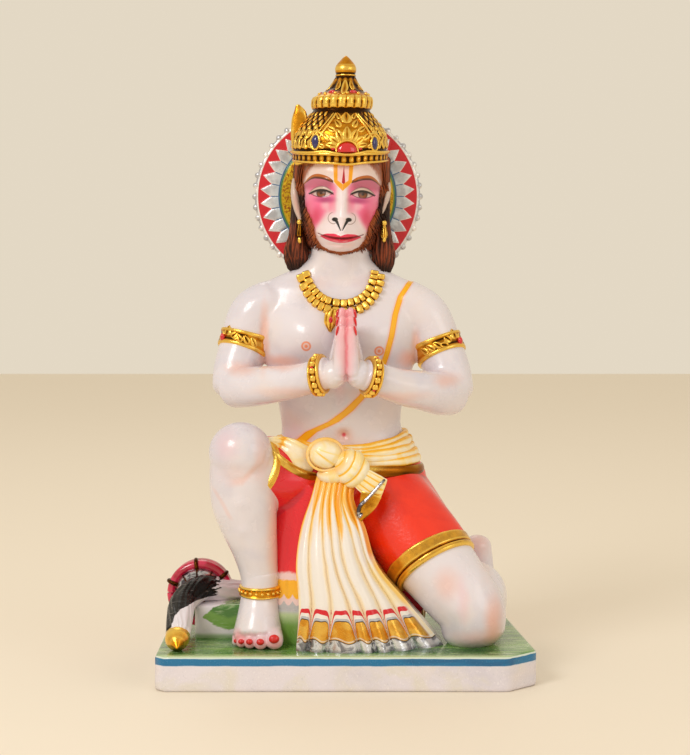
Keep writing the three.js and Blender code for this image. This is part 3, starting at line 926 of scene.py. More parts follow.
def faceRelief(p, q):
    side, eye = abs(p), head["eye"]
    out = 5.5 * bell(side - 19, 14) * bell(q - 14, 6.5)
    out -= 6 * bell(side - 21, 13) * bell(q - 1, 9)
    out += 6.4 * bell(side - eye["p"], 9.5) * bell(q, 7)
    nearEye = bell(side - eye["p"], 11.5)
    out += 1.3 * nearEye**0.5 * step(q - upperLash(side), 0.5) * step(lidFold(side) - q, 0.8)
    out += 0.9 * nearEye**0.5 * step(lowerLash(side) - q, 0.5) * step(q + 9, 2)
    out -= 0.9 * nearEye * bell(q - lidFold(side) - 0.6, 1.1)
    bridge = np.interp(q, [-40, -32, -24, -12, 4, 12, 20], [3, 6, 10.0, 7.5, 5, 3.5, 0])
    out += bridge * bell(p - 0.6, np.interp(q, [-26, -10, 8], [7.4, 7.0, 9.0]))
    out += 4.2 * bell(side - 8.3, 4.6) * bell(q + 25, 5)
    out -= 3.2 * bell(side - 6.7, 2.1) * bell(q + 27.2, 2.1)
    septum = np.clip(0.9 + 0.48 * (q + 37.8), 0.9, 6)
    out -= 1.3 * bell(side - septum, 0.9) * step(q + 39, 0.8) * step(-28 - q, 0.8)
    out += 12.5 * bell(p, 21) * bell(q + 44, 13)
    out += 4 * bell(side - 26, 10) * bell(q + 15, 10)
    out -= 1.6 * bell(side - 17 + 0.35 * (q + 30), 3.4) * bell(q + 30, 9)
    inMouth = step(head["mouthHalf"] - side, 1.5)
    out += inMouth * 1.9 * bell(q - (upperLip(side) + lipLine(p)) / 2, 2.0)
    out += inMouth * 2.4 * bell(q - (lowerLip(p) + lipLine(p)) / 2, 1.9) * bell(p, 18)
    out -= inMouth * 2.4 * bell(q - lipLine(p), 0.8)
    out -= 1.6 * bell(p, 15) * bell(q + 52.5, 1.8)
    out += 4.5 * bell(p, 12) * bell(q + 56, 4.5)
    return out


def leaned(places):
    # From the upright head to where it stands on the neck.
    angle = math.radians(head["leans"])
    p, q = places[:, 0], places[:, 2]
    x = p * math.cos(angle) + q * math.sin(angle)
    z = q * math.cos(angle) - p * math.sin(angle)
    return np.stack([x + head["between"][0], places[:, 1] + head["between"][1], z + head["between"][2]], 1)


def leanedStations(stations):
    rows = np.array(stations, float)
    return [(*place, *sizes) for place, sizes in zip(leaned(rows[:, :3]), rows[:, 3:])]


def bareHead(material):
    size = smoothPath([(w, d, q) for q, w, d in head["sections"]])

    def shape(u, v):
        halves = size(v)
        q = halves[:, 2]
        round_ = 2 * u - 1
        turn = math.pi * round_ * (0.55 + 0.45 * round_**2) - math.pi / 2
        p = halves[:, 0] * np.cos(turn)
        facing = np.clip(-np.sin(turn), 0, 1)
        out = faceRelief(p, q) * np.minimum(1, facing * 1.6)
        return leaned(np.stack([p, halves[:, 1] * np.sin(turn) - out, q], 1))

    skull = bentGrid("head", 210, 170, shape)

    def hollowed(turn, t):
        return -2.6 * bell(turn / math.pi - 1.5, 0.13) * bell(t - 0.42, 0.3)

    ears = [
        limb("ear", leanedStations(stations), columns=40, rows=40, relief=hollowed, blunt=0.5)
        for stations in head["ears"]
    ]
    return finished(joined("head_and_ears", [skull, *ears]), material)


hair = {
    "locks": [  # p, y, q, half width, half depth
        [(-42.5, 16, 38, 8, 24), (-45.5, 17, 18, 6, 24), (-46, 17, -4, 6, 24), (-46, 14, -27, 6.5, 22),
         (-45.6, 9, -45, 9.2, 19), (-47, 6, -60, 12.4, 16), (-46.4, 5, -68, 12, 14),
         (-45.6, 4, -76, 9.4, 10)],
        [(41.5, 16, 38, 8, 24), (44, 17, 18, 5.8, 24), (44.5, 17, -4, 6, 24), (44, 14, -27, 7, 22),
         (44.4, 9, -45, 9.2, 19), (45, 6, -60, 11.6, 16), (45.2, 5, -68, 11, 14), (44.6, 4, -76, 8.8, 10)],
    ],
    "strands": 17,
    "nape": (-1, 27, -30, 43, 21, 46),
    "tufts": 46,
    "tuftRows": 3,
    "tuftSizes": [(0.75, 0.6), (1.05, 0.8), (0.7, 0.6), (0.16, 0.16)],
    "beardLine": [(0, -59.2), (3, -59.1), (12, -57.6), (19, -53.6), (23, -48.6), (25, -45.5)],
    "strokes": 56,
    "strokeRows": 3,
    "strokeSizes": [(0.5, 0.4), (0.7, 0.5), (0.12, 0.12)],
}


def faceEdge(q):
    return np.interp(q, *np.array(head["faceEdge"]).T)


def hairAndFur(material):
    def strands(turn, t):
        wave = np.sin(turn * hair["strands"] + 5 * t + 1.5 * np.sin(3 * turn + 7 * t))
        return 0.75 * wave + 0.9 * np.sin(turn * 5 - 6 * t) * step(t - 0.25, 0.1)

    parts = []
    for stations in hair["locks"]:
        parts.append(limb("lock", leanedStations(stations), columns=120, rows=50, relief=strands))
    p, y, q, a, b, c = hair["nape"]
    nape = ball("nape", leaned(np.array([[p, y, q]]))[0], (a, b, c), columns=120, rows=40)
    flat = inUnits(cornersOf(nape))
    turn = np.arctan2(flat[:, 1] - 20, flat[:, 0])
    ridge = 0.8 * np.sin(turn * 40 + 0.05 * flat[:, 2] + 1.2 * np.sin(flat[:, 2] * 0.09))
    parts.append(moveCorners(nape, inMetres(flat + normalsOf(nape) * ridge[:, None])))
    cap = limb("cap", leanedStations([(0, 6, 20, 43.5, 46), (0, 6, 34, 43, 45.5), (0, 6, 48, 36, 39)]),
               columns=80, rows=12, blunt=0)
    parts.append(cap)
    shock = np.random.default_rng(5)
    for row in range(hair["tuftRows"]):
        for i in range(hair["tufts"]):
            share = (i + shock.uniform(0, 0.9)) / hair["tufts"]
            q = 10 - 66 * share
            for side in (-1, 1):
                p = faceEdge(q) + 1.0 + row * 3.0 + shock.uniform(-0.7, 0.7)
                width = np.interp(q, [-61.8, -56.6, -48, -35, -17, 5, 25], [13, 23, 30, 35, 39.5, 42, 42])
                facing = math.sqrt(max(0.04, 1 - min(0.96, (p / (width + 2)) ** 2)))
                depth = np.interp(q, [-61.8, -56.6, -48, -35, -17, 5, 25], [17, 28, 35, 42, 44, 45, 44])
                y = -depth * facing - 0.6 * faceRelief(np.array(p), np.array(q)) * facing
                droop = np.interp(q, [-61, -50, -20, 10], [2.2, 4.5, 7.5, 6.5]) + shock.uniform(-1, 1.5)
                fan = np.interp(q, [-61, -50, -20, 10], [0.6, 2.6, 3.6, 1.0])
                points = leaned(np.array([
                    (side * (p - 1.4), y + 1.2, q + 2.0), (side * p, y - 0.7, q - 1.0),
                    (side * (p + fan * 0.7), y + 0.2, q - droop * 0.6),
                    (side * (p + fan), y + 2.6, q - droop),
                ]))
                tuft = [(*place, *sizes) for place, sizes in zip(points, hair["tuftSizes"])]
                parts.append(limb("tuft", tuft, columns=5, rows=6, blunt=0.3))
    # Short strokes of fur under the chin.
    for i in range(hair["strokes"]):
        for row in range(hair["strokeRows"]):
            p = -24 + 48 * (i + 0.33 * row) / hair["strokes"] + shock.uniform(-0.3, 0.3)
            q = np.interp(abs(p), *np.array(hair["beardLine"]).T) - 1.3 * row
            width = np.interp(q, [-61.8, -56.6, -48, -35], [13, 23, 30, 35])
            depth = np.interp(q, [-61.8, -56.6, -48, -35], [16, 27, 35, 42])
            front = math.sqrt(max(0.05, 1 - min(0.95, (p / width) ** 2)))
            y = -depth * front - faceRelief(np.array(p), np.array(q)) * min(1, front * 1.6)
            points = leaned(
                np.array(
                    [(p, y + 0.7, q + 1.6), (p * 1.01, y - 0.3, q - 0.2), (p * 1.03, y + 0.8, q - 2.2)]
                )
            )
            stroke = [(*place, *sizes) for place, sizes in zip(points, hair["strokeSizes"])]
            parts.append(limb("stroke", stroke, columns=5, rows=5, blunt=0.3))
    return finished(joined("hair_and_whiskers", parts), material, hollows=(5, 0.4))


crown = {
    "centre": (-5, 5, 496),
    "profile": [  # radius, height, how far it has shifted to the viewer's right
        (44, -1.6, 0), (49, -1.6, 0), (50.6, -0.6, 0), (50.6, 0.2, 0), (49.6, 0.9, 0), (49.8, 6.8, 0),
        (50.6, 7.4, 0), (51, 8.6, 0), (50.2, 10.2, -0.3), (48.8, 11.2, -0.6), (49.3, 16, -0.8),
        (48.8, 24, -0.6), (47, 31, -0.4), (44, 37, 0), (39.6, 42.5, 0.3), (35.4, 47, 0.6),
        (32.4, 50.6, 0.9), (30.4, 53.4, 1.2), (29.4, 55.2, 1.4), (31, 56.8, 1.5), (32, 60, 1.7),
        (31.9, 65.6, 2.1), (30.6, 68.4, 2.5), (27.4, 70.4, 3.0), (24.2, 72.2, 3.5), (20.6, 74.6, 4.2),
        (17.4, 77.6, 5), (15, 80.6, 5), (13.2, 83.8, 5.2), (11.4, 87.4, 5.4), (9.8, 90, 5.6),
        (11.2, 91.4, 5.7), (9.8, 92.6, 5.7), (10.6, 94.4, 5.7), (11.2, 97, 5.7), (11, 99.4, 5.7),
        (9.8, 102.2, 5.8), (7.6, 105, 5.9), (5.2, 107.6, 6), (3.2, 109.8, 6), (0.3, 112, 6),
    ],
    "bandBeads": 40,
    "gadroons": 22,
    "middle": 9,  # the front of the ornament is this many degrees to the viewer's right
    "gem": {"z": 11.4, "halves": (10.4, 4.4, 9.4), "flatBelow": 0.8},
    "blueGems": [(-0.68, 20.5), (0.65, 19)],  # turn from the middle in radians, height
    "blueHalves": (4.6, 3.4, 7),
    "coneGems": (-0.7, 0.28, 1.4, 2.5, -1.8, -2.8),
    "fan": [
        (0, 15.5, 10.5), (-27, 15, 9), (27, 15, 9), (-55, 14.5, 8), (55, 14.5, 8), (-80, 13.5, 7),
        (80, 13.5, 7)
    ],
    "fanReach": 8.0,
    "leaves": [  # lean in degrees, how far to the side of the middle, height, length, width
        (-38, -6.5, 35, 11, 6.5), (38, 6.5, 35, 11, 6.5), (-62, -12, 31, 11, 6), (62, 12, 31, 11, 6),
        (0, 0, 39, 13, 12.5), (-30, -8, 44, 8, 5), (30, 8, 44, 8, 5), (-48, -17, 22, 11, 6),
        (48, 17, 22, 11, 6), (-70, -22, 15, 10, 5.5), (70, 22, 15, 10, 5.5),
    ],
    # turns, foot, out, radius, columns
    "cords": [(0.3, 0.62, 21, 0.8, 1.15, 10), (0.38, 0.72, 23, 0.6, 0.8, 8)],
    "backStep": 0.34,
    "coneBeads": 13,
    "coneLeaves": 7,
    "fin": [
        (-41, -4, 34, 9.5, 8), (-44.5, -7, 48, 8.5, 5.4), (-46.5, -8, 62, 8.2, 4.2),
        (-46.2, -8, 74, 8.4, 3.6), (-46.6, -8, 83, 6.8, 3.0), (-49, -8, 91, 2.2, 1.6),
    ],
}
crownLengths = np.concatenate(
    [[0], np.cumsum(np.hypot(*np.diff(np.array(crown["profile"])[:, :2], axis=0).T))]
)
crownLengths /= crownLengths[-1]


def crownRow(v):
    return [np.interp(v, crownLengths, np.array(crown["profile"])[:, k]) for k in range(3)]


def fromMiddle(turn):
    return (turn - math.radians(crown["middle"]) + math.pi) % (2 * math.pi) - math.pi


def crownDip(turn, z):
    # The brow of the crown sinks towards the front, and once more under the red gem.
    sunk = (3.9 - 5.0 * np.clip(np.cos(turn), -0.1, 1)) * np.clip(1 - z / 36, 0, 1)
    return sunk - 1.8 * bell(fromMiddle(turn), 0.27) * np.clip(1 - z / 14, 0, 1)


def crownPoint(turn, z, out=0.0):
    # A place on the crown by its height and its turn, 0 at the front and growing to the viewer's right.
    table = np.array(crown["profile"])[4:]
    r = np.interp(z, table[:, 1], table[:, 0]) + out
    shift = np.interp(z, table[:, 1], table[:, 2])
    x, y, base = crown["centre"]
    return np.stack([x + shift + r * np.sin(turn), y - r * np.cos(turn), base + z + crownDip(turn, z)], -1)


def leafForm(u, v, length, width, lean, height, grooved):
    # A carved leaf leaned over by an angle in degrees: how far sideways, upward and outward from its foot.
    lean = math.radians(lean)
    outline = np.sin(math.pi * np.clip(v, 0, 1) ** 0.72) ** 0.8
    across, upper = width / 2 * outline * np.cos(2 * math.pi * u), np.sin(2 * math.pi * u)
    raised = height * np.sqrt(np.clip(outline, 0, 1)) * np.clip(upper, 0, 1) ** 0.6
    midrib = grooved * bell(np.cos(2 * math.pi * u), 0.3) * (upper > 0) * np.sin(math.pi * v) ** 0.5
    sideways = across * math.cos(lean) + length * v * math.sin(lean)
    upward = length * v * math.cos(lean) - across * math.sin(lean)
    return sideways, upward, np.where(upper > 0, raised, 0.8 * upper) - midrib


def leaf(name, turn, z, length, width, lean, height=1.7, grooved=0.8):
    # A carved leaf lying on the crown, its foot at (turn, z).
    def shape(u, v):
        sideways, upward, lift = leafForm(u, v, length, width, lean, height, grooved)
        here = z + upward
        table = np.array(crown["profile"])[4:]
        r = np.interp(here, table[:, 1], table[:, 0])
        return crownPoint(turn + sideways / np.maximum(r, 8), here, lift)

    return bentGrid(name, 16, 12, shape)


def gildedCrown(material, redMaterial, blueMaterial):
    cells, lobes = crown["bandBeads"], crown["gadroons"]

    def shape(u, v):
        r, z, shift = crownRow(v)
        turn = 2 * math.pi * (u - 0.5)
        cell = (turn / (2 * math.pi) * cells) % 1 - 0.5
        r = r + 1.5 * (np.abs(np.cos(math.pi * cell)) ** 0.7 - 0.75) * bell(z - 3.9, 2.7)
        lobe = np.abs(np.cos(turn * lobes / 2))
        r = r + 1.5 * (lobe - 0.6) * step(z - 56.8, 0.6) * step(69.5 - z, 0.6)
        r = r + 0.5 * np.cos(turn * 12) * step(z - 76, 1) * step(90 - z, 1)
        # A chased lattice with a stud in each diamond on the sides and back of the dome.
        ridge = np.abs(np.sin(turn * 16 + z * 0.31)) * np.abs(np.sin(turn * 16 - z * 0.31))
        onDome = step(z - 13, 0.8) * step(52.5 - z, 0.8) * step(np.abs(fromMiddle(turn)) - 0.6, 0.03)
        r = r + onDome * (1.6 * ridge**1.5 - 0.9 * (ridge < 0.08))
        x, y, base = crown["centre"]
        return np.stack([x + shift + r * np.sin(turn), y - r * np.cos(turn), base + z + crownDip(turn, z)], 1)

    dome = bentGrid("dome", 300, 125, shape)
    middle = math.radians(crown["middle"])
    carved = []
    reach = crown["fanReach"]
    for lean, length, width in crown["fan"]:
        leaning = math.radians(lean)
        turn = middle + reach * math.sin(leaning) * 1.25 / 50
        carved.append(leaf("fan", turn, 15 + reach * 0.75 * math.cos(leaning), length, width, lean))
    for lean, offset, z, length, width in crown["leaves"]:
        carved.append(leaf("leaf", middle + offset / 48, z, length, width, lean))
    for side in (-1, 1):
        for k in range(4):
            carved.append(leaf("sideLeaf", middle + side * (0.82 + 0.2 * k), 13.5, 13, 8, side * -12))
            carved.append(leaf("sideLeafAbove", middle + side * (0.72 + 0.2 * k), 26, 11, 7, 0))
        # Cords that divide the front from the sides.
        for high, low, foot, out, radius, columns in crown["cords"]:
            cord = crownPoint(middle + side * np.linspace(high, low, 8), np.linspace(51, foot, 8), out)
            carved.append(rope("cord", cord, radius, rows=40, columns=columns))
    for k in range(1, 9):
        carved.append(leaf("backLeaf", math.pi + (k - 4) * crown["backStep"], 13, 15, 11, 0))
        carved.append(leaf("backLeafAbove", math.pi + (k - 4.5) * crown["backStep"], 29, 13, 9, 0))
    for k in range(crown["coneBeads"]):
        turn = 2 * math.pi * k / crown["coneBeads"]
        bead = crownPoint(np.array(turn + middle), np.array(71.5), 0.4)
        carved.append(ball("bead", bead, (1.9, 1.9, 1.7), columns=10, rows=8))
    for k in range(crown["coneLeaves"]):
        turn = 2 * math.pi * (k + 0.5) / crown["coneLeaves"]
        carved.append(leaf("coneLeaf", turn, 75, 11, 5.4, 0, height=1.1, grooved=0.4))
    carved.append(leaf("plume", 0.0, 69.5, 18, 7.5, 0, height=2.6, grooved=0.6))
    # Arched brows over the blue gems.
    for away, z in crown["blueGems"]:
        arch = np.linspace(-1, 1, 9)
        brow = crownPoint(middle + away + 0.2 * arch, z + 10.5 - 6.5 * arch**2, 0.9)
        carved.append(rope("brow", brow, 1.3, rows=50, columns=12))
    # The wavy ledge over the beads, which dips under the red gem.
    turns = np.linspace(0, 2 * math.pi, 60, endpoint=False)
    away = fromMiddle(turns)
    ledge = crownPoint(turns, 9.6 - 1.2 * bell(away, 0.24) + 1.4 * bell(np.abs(away) - 0.5, 0.2), 0.5)
    carved.append(rope("ledge", ledge, 1.35, closed=True, rows=200, columns=10))

    def twist(turn, t):
        return 1.1 * np.cos(2 * turn + 0.6) * (1 - t)

    carved.append(limb("fin", leanedStations(crown["fin"]), columns=40, rows=40, relief=twist))
    gem = crown["gem"]
    arch = np.linspace(-0.12, math.pi + 0.12, 14)
    around = np.linspace(0, 2 * math.pi, 24, endpoint=False)
    a, _, c = gem["halves"]
    rim = crownPoint(middle + (a + 0.9) * np.cos(arch) / 50, gem["z"] + (c + 1.0) * np.sin(arch), 1.0)
    rims = [rope("rim", rim, 1.15, rows=60, columns=10)]
    a, _, c = crown["blueHalves"]
    for away, z in crown["blueGems"]:
        rim = crownPoint(middle + away + (a + 0.6) * np.cos(around) / 50, z + (c + 0.6) * np.sin(around), 1.2)
        rims.append(rope("rim", rim, 1.15, closed=True, rows=60, columns=10))
    finished(joined("crown", [dome, *carved, *rims]), material, hollows=(8, 0.5))

    def stone(turn, z, halves, flatBelow=0.0):
        x, y, height = crownPoint(np.array(turn), np.array(z), -0.3)
        gemstone = ball("gem", (x, y, height), halves, turned=(0, 0, math.degrees(turn)), columns=26, rows=20)
        if flatBelow:
            flat = inUnits(cornersOf(gemstone))
            flat[:, 2] = np.maximum(flat[:, 2], height - flatBelow)
            moveCorners(gemstone, inMetres(flat))
        return gemstone

    reds = [stone(middle, gem["z"], gem["halves"], flatBelow=gem["flatBelow"])]
    reds += [stone(middle + side * 0.29, 14.2, (2.6, 1.8, 2.4)) for side in (-1, 1)]
    reds += [stone(middle + turn, 72.6, (4.4, 1.8, 2.2)) for turn in crown["coneGems"]]
    finished(joined("crown_red_gems", reds), redMaterial)
    blues = [stone(middle + away, z, crown["blueHalves"]) for away, z in crown["blueGems"]]
    return finished(joined("crown_blue_gems", blues), blueMaterial)


halo = {
    "centre": (-8, 463),
    "profile": [  # v, radius, y: from the middle of the back round the rim to the middle of the front
        (0, 0, 57), (0.12, 84, 57), (0.16, 88, 56), (0.2, 88.6, 51), (0.24, 88, 43), (0.27, 86.4, 41.4),
        (0.31, 84.2, 41.4), (0.8, 62.4, 41.4), (0.84, 61, 39.6), (0.9, 56, 38.6), (1, 0, 38.6),
    ],
    "petals": 34,
    "petalTip": 81.5,
    "petalFoot": 70.5,
    "beads": 48,
    "beadHalves": (3.9, 3.4, 4.6),
    "beadsAt": (86.6, 44.4),  # radius, y
}


def gloryDisc(material):
    x0, z0 = halo["centre"]
    v0, r0, y0 = np.array(halo["profile"]).T

    def shape(u, v):
        turn = 2 * math.pi * u
        r, y = np.interp(v, v0, r0), np.interp(v, v0, y0)
        phase = np.abs((turn * halo["petals"] / (2 * math.pi)) % 1 - 0.5) * 2
        edge = halo["petalFoot"] + (halo["petalTip"] - halo["petalFoot"]) * (1 - phase)
        onFront = step(v - 0.3, 0.01) * step(0.81 - v, 0.01)
        y = y - onFront * (1.2 * step(edge - r, 0.35) - 0.9 * bell(phase - 1, 0.12) * step(edge - r, 0.5))
        return np.stack([x0 + r * np.cos(turn), y, z0 + r * np.sin(turn)], 1)

    disc = bentGrid("disc", halo["petals"] * 10, 50, shape)
    beads = []
    first = ball("rimBead", (0, 0, 0), halo["beadHalves"], columns=14, rows=10)
    flat = inUnits(cornersOf(first))
    beadRadius, beadY = halo["beadsAt"]
    for i in range(halo["beads"]):
        turn = 2 * math.pi * i / halo["beads"]
        bead = first.copy()
        bead.data = first.data.copy()
        bpy.context.collection.objects.link(bead)
        c, s = math.cos(turn), math.sin(turn)
        around = flat @ np.array([[-s, 0, c], [0, 1, 0], [c, 0, s]])
        moveCorners(bead, inMetres(around + (x0 + beadRadius * c, beadY, z0 + beadRadius * s)))
        beads.append(bead)
    bpy.data.objects.remove(first)
    return finished(tidyShell(joined("halo", [disc, *beads]), closing=False), material)


def skinAt(piece, x, z):
    # Where the front of a piece lies at (x, z), in units, and which way it faces there.
    inFront = -160
    hit, place, normal, _ = piece.ray_cast(tuple(inMetres((x, inFront, z))), (0, 1, 0))
    return (inUnits(place), np.array(normal)) if hit else (None, None)


def facing(normal):
    # Angles that turn a flat ornament, made facing the viewer, to lie on a surface.
    return (
        math.degrees(math.asin(max(-1, min(1, normal[2])))) * -1, 0,
        math.degrees(math.atan2(normal[0], -normal[1]))
    )


cloth = {
    "over": 2.2,
    "hemStands": 1.6,
    "raisedHem": (0.77, 0.845),
    "kneelingHem": (  # where the hem starts and stops along the thigh, round it
        lambda turn: 0.43 + 0.034 * np.cos(turn) - 0.014 * np.sin(turn),
        lambda turn: 0.506 + 0.0245 * np.cos(turn) - 0.014 * np.sin(turn),
    ),
    "hips": [
        (6, 20, 112, 70, 46), (5, 16, 140, 79, 49), (4, 12, 160, 82.5, 50), (2, 10, 176, 76, 45.5),
        (1, 9, 184, 72.5, 43)
    ],
    "behindFall": [
        (-34, -22, 160, 40, 26), (-42, -27, 100, 40, 24), (-44, -32, 34, 40, 24), (-44, -32, -3, 40, 24)
    ],
    # radius, z
    "seat": [(68, -3), (71, 6), (74, 18), (73, 38), (72, 56), (69, 78), (66, 96), (62, 116), (56, 140)],
    "seatPleats": 18,
    "grain": 2.3,
    "softening": 2,
}


def loincloth(material, hemMaterial):
    over = cloth["over"]
    standing = over + cloth["hemStands"]

    def thighFolds(turn, t):
        return over + 1.3 * np.sin(5 * turn + 9 * t + 1.5 * np.sin(2 * turn)) * step(t - 0.06, 0.05)

    radius = smoothPath([(r, 0, z) for r, z in cloth["seat"]])

    def seatShape(u, v):
        turn, place = 2 * math.pi * u, radius(v)
        r = (
            place[:, 0]
            + 2.0 * (np.abs(np.cos(turn * cloth["seatPleats"] / 2)) - 0.5) * step(96 - place[:, 2], 18)
        )
        return np.stack([12 + r * np.cos(turn), 26 + 0.76 * r * np.sin(turn), place[:, 2]], 1)

    def fallFolds(turn, t):
        return 1.6 * (np.abs(np.sin(turn * 6 + 0.6)) - 0.5) * step(t - 0.15, 0.1)

    def kneelingStop(turn):
        return cloth["kneelingHem"][0](turn) + 0.01

    thighs = {"columns": 90, "rows": 80, "blunt": 0.25, "relief": thighFolds}
    skin = blended("loincloth", [
        limb("raised", body["raisedThigh"], stop=cloth["raisedHem"][0] + 0.01, **thighs),
        limb("kneeling", body["kneelingThigh"], stop=kneelingStop, **thighs),
        limb("hips", cloth["hips"], columns=90, rows=40, blunt=0.1),
        limb("behind", cloth["behindFall"], columns=90, rows=60, blunt=0, relief=fallFolds),
        bentGrid("seat", 160, 40, seatShape),
    ], cloth["grain"], cloth["softening"])
    finished(skin, material, hollows=(8, 0.7))

    def hemGroove(turn, t):
        start, stop = (edge(turn) for edge in cloth["kneelingHem"])
        share = (t - start) / (stop - start)
        return (
            0.9 * (1 - bell(share - 0.68, 0.06) * 1.8) * step(share - 0.03, 0.03) * step(0.97 - share, 0.03)
        )

    start, stop = cloth["raisedHem"]
    first, last = cloth["kneelingHem"]
    hems = [
        limb(
            "hem", body["raisedThigh"], start=start, stop=stop, swell=standing, columns=90, rows=24,
            blunt=0.05
        ),
        limb("hem", body["kneelingThigh"], start=first, stop=last, swell=standing - 1.2, columns=120, rows=60,
             blunt=0.05, relief=hemGroove),
    ]
    finished(joined("loincloth_hems", hems), hemMaterial, hollows=(5, 0.5))
    return skin


sash = {
    "centre": (2, 8),
    # heights at the viewer's right, in front and at the left, then reach sideways and forward, and radius
    "strands": [
        (213, 200, 212, 62, 40, 4.2), (207, 197.5, 210, 65.5, 42.5, 4.4),
        (200.5, 194.5, 208, 68.5, 44.5, 4.6), (194, 191, 206, 71.5, 45.5, 4.7),
        (187.5, 187.5, 204, 74.5, 46, 4.7),
    ],
    "waist": (175.5, 180, 196, 78.5, 46.6, 6.3),
    "overThigh": [  # x and z on the thigh's cloth, half thickness, half height
        (-85, 208, 3.2, 3.4), (-76, 208.5, 3.8, 6.2), (-66, 205, 4.4, 9.8), (-56, 199, 4.8, 13.4),
        (-46, 190.5, 5.2, 16.5), (-34, 185.5, 5.2, 17),
    ],
    "bandOverThigh": [(-79, 202), (-71, 196), (-62, 188.5), (-52, 181), (-40, 175), (-28, 172)],
    "knot": ((-20, -55, 197.5), (17.6, 13, 15.2)),
    "ring": (18.4, 15.8, 1.8),
    "lobe": ((7, -57, 183), (17.5, 12.5, 20)),
    "gather": ((-12, -54, 176), (17, 9, 9)),
    "shortFall": [
        (8, -60, 178, 8, 4), (20, -61, 171, 12, 3.4), (31, -60.5, 164, 13, 3), (39, -59.5, 161, 11.5, 2.6)
    ],
    "shortBand": [
        (27, -61.5, 157, 11, 3), (24, -62, 148, 9.5, 3), (19, -62, 138, 6.4, 2.8), (15, -61, 130, 2.6, 2)
    ],
    "curl": [
        (41, -61.5, 172.5), (34, -63, 165), (27, -64, 157), (20.5, -65, 150.5), (15.6, -66, 146),
        (13.6, -66, 140), (15, -65.4, 134.6), (17.6, -64.6, 138),
    ],
    "curlRolls": [(0, 1.9), (-1.6, 0.8)],  # how far back, radius
}


def wrapPath(right, front, left, reachX, reachY, points=16):
    turn = 2 * math.pi * np.arange(points) / points
    middle = (right + left) / 2
    ahead = np.maximum(0, -np.sin(turn))
    height = middle + (right - left) / 2 * np.cos(turn) + (front - middle) * ahead**2
    x0, y0 = sash["centre"]
    return np.stack([x0 + reachX * np.cos(turn), y0 + reachY * np.sin(turn), height], 1)


def wrappedSash(material, waistMaterial, under):
    def seams(u, v):
        return {"seam": np.abs(np.sin(2 * math.pi * u))}

    def pleats(turn, t):
        return 0.9 * (np.abs(np.sin(turn * 4 + 0.5)) - 0.5) * step(t - 0.1, 0.08)

    def thinner(t):
        return ringRadius * (1 + 0.3 * np.sin(2 * math.pi * t))

    parts = []
    for number, (right, front, left, reachX, reachY, r) in enumerate(sash["strands"]):
        def wobble(t, r=r, n=number):
            return r * (1 + 0.14 * np.sin(26 * t + 2.1 * n) + 0.08 * np.sin(61 * t + n))

        path = wrapPath(right, front, left, reachX, reachY)
        parts.append(
            rope(f"strand{number}", path, wobble, closed=True, rows=150, columns=20, flat=0.8, notes=seams)
        )
    rows = sash["overThigh"]
    places = onFront(under, [(x, z) for x, z, _, _ in rows])
    sunk = np.array((0, 1.2, 0))
    strip = [(*(place - sunk), thick, high) for place, (_, _, thick, high) in zip(places, rows)]
    parts.append(limb("overThigh", strip, across=(0, 1, 0), columns=90, rows=40, relief=pleats, blunt=0.3))
    knotAt, knotHalves = sash["knot"]
    knot = ball("bulb", knotAt, knotHalves, columns=80, rows=50)
    corners = inUnits(cornersOf(knot))
    fan = np.arctan2(corners[:, 2] - 206, corners[:, 0] + 36)
    creases = 0.9 * bell(fan + 0.66, 0.1) + 0.5 * bell(fan + 0.3, 0.07)
    moveCorners(knot, inMetres(corners - normalsOf(knot) * (creases * step(corners[:, 0] + 30, 5))[:, None]))
    parts.append(knot)
    turns = np.linspace(0, 2 * math.pi, 20, endpoint=False)
    ringX, ringZ, ringRadius = sash["ring"]
    x, z = knotAt[0] + ringX * np.cos(turns), knotAt[2] - 0.8 + ringZ * np.sin(turns)
    ring = np.stack([x, -58 + 3.5 * np.sin(turns + 0.6), z], 1)
    parts.append(rope("loop", ring, thinner, closed=True, rows=90, columns=16))
    # The second lobe wraps round the bulb, with folds that follow its edge.
    lobe = ball("lobe", *sash["lobe"], turned=(0, -24, 0), columns=90, rows=60)
    corners = inUnits(cornersOf(lobe))
    around = np.hypot(corners[:, 0] - knotAt[0], (corners[:, 2] - knotAt[2] - 4) * 1.05)
    folds = 1.5 * np.abs(np.sin(math.pi * (around - 20) / 10.5)) ** 0.85 - 0.6
    moveCorners(lobe, inMetres(corners + normalsOf(lobe) * (folds * step(around - 18, 2))[:, None]))
    parts.append(lobe)
    parts.append(ball("gather", *sash["gather"], columns=40, rows=30))
    finished(joined("sash", parts), material, hollows=(5, 0.5))
    right, front, left, reachX, reachY, r = sash["waist"]
    path = wrapPath(right, front, left, reachX, reachY)
    cord = rope("waistband", path, r, closed=True, rows=160, columns=30, flat=0.55)
    path = [place - np.array((0, 0.6, 0)) for place in onFront(under, sash["bandOverThigh"])]
    band = rope("band", path, 4.6, rows=90, columns=24, flat=0.55)
    return finished(joined("waistband", [cord, band]), waistMaterial, hollows=(4, 0.4))


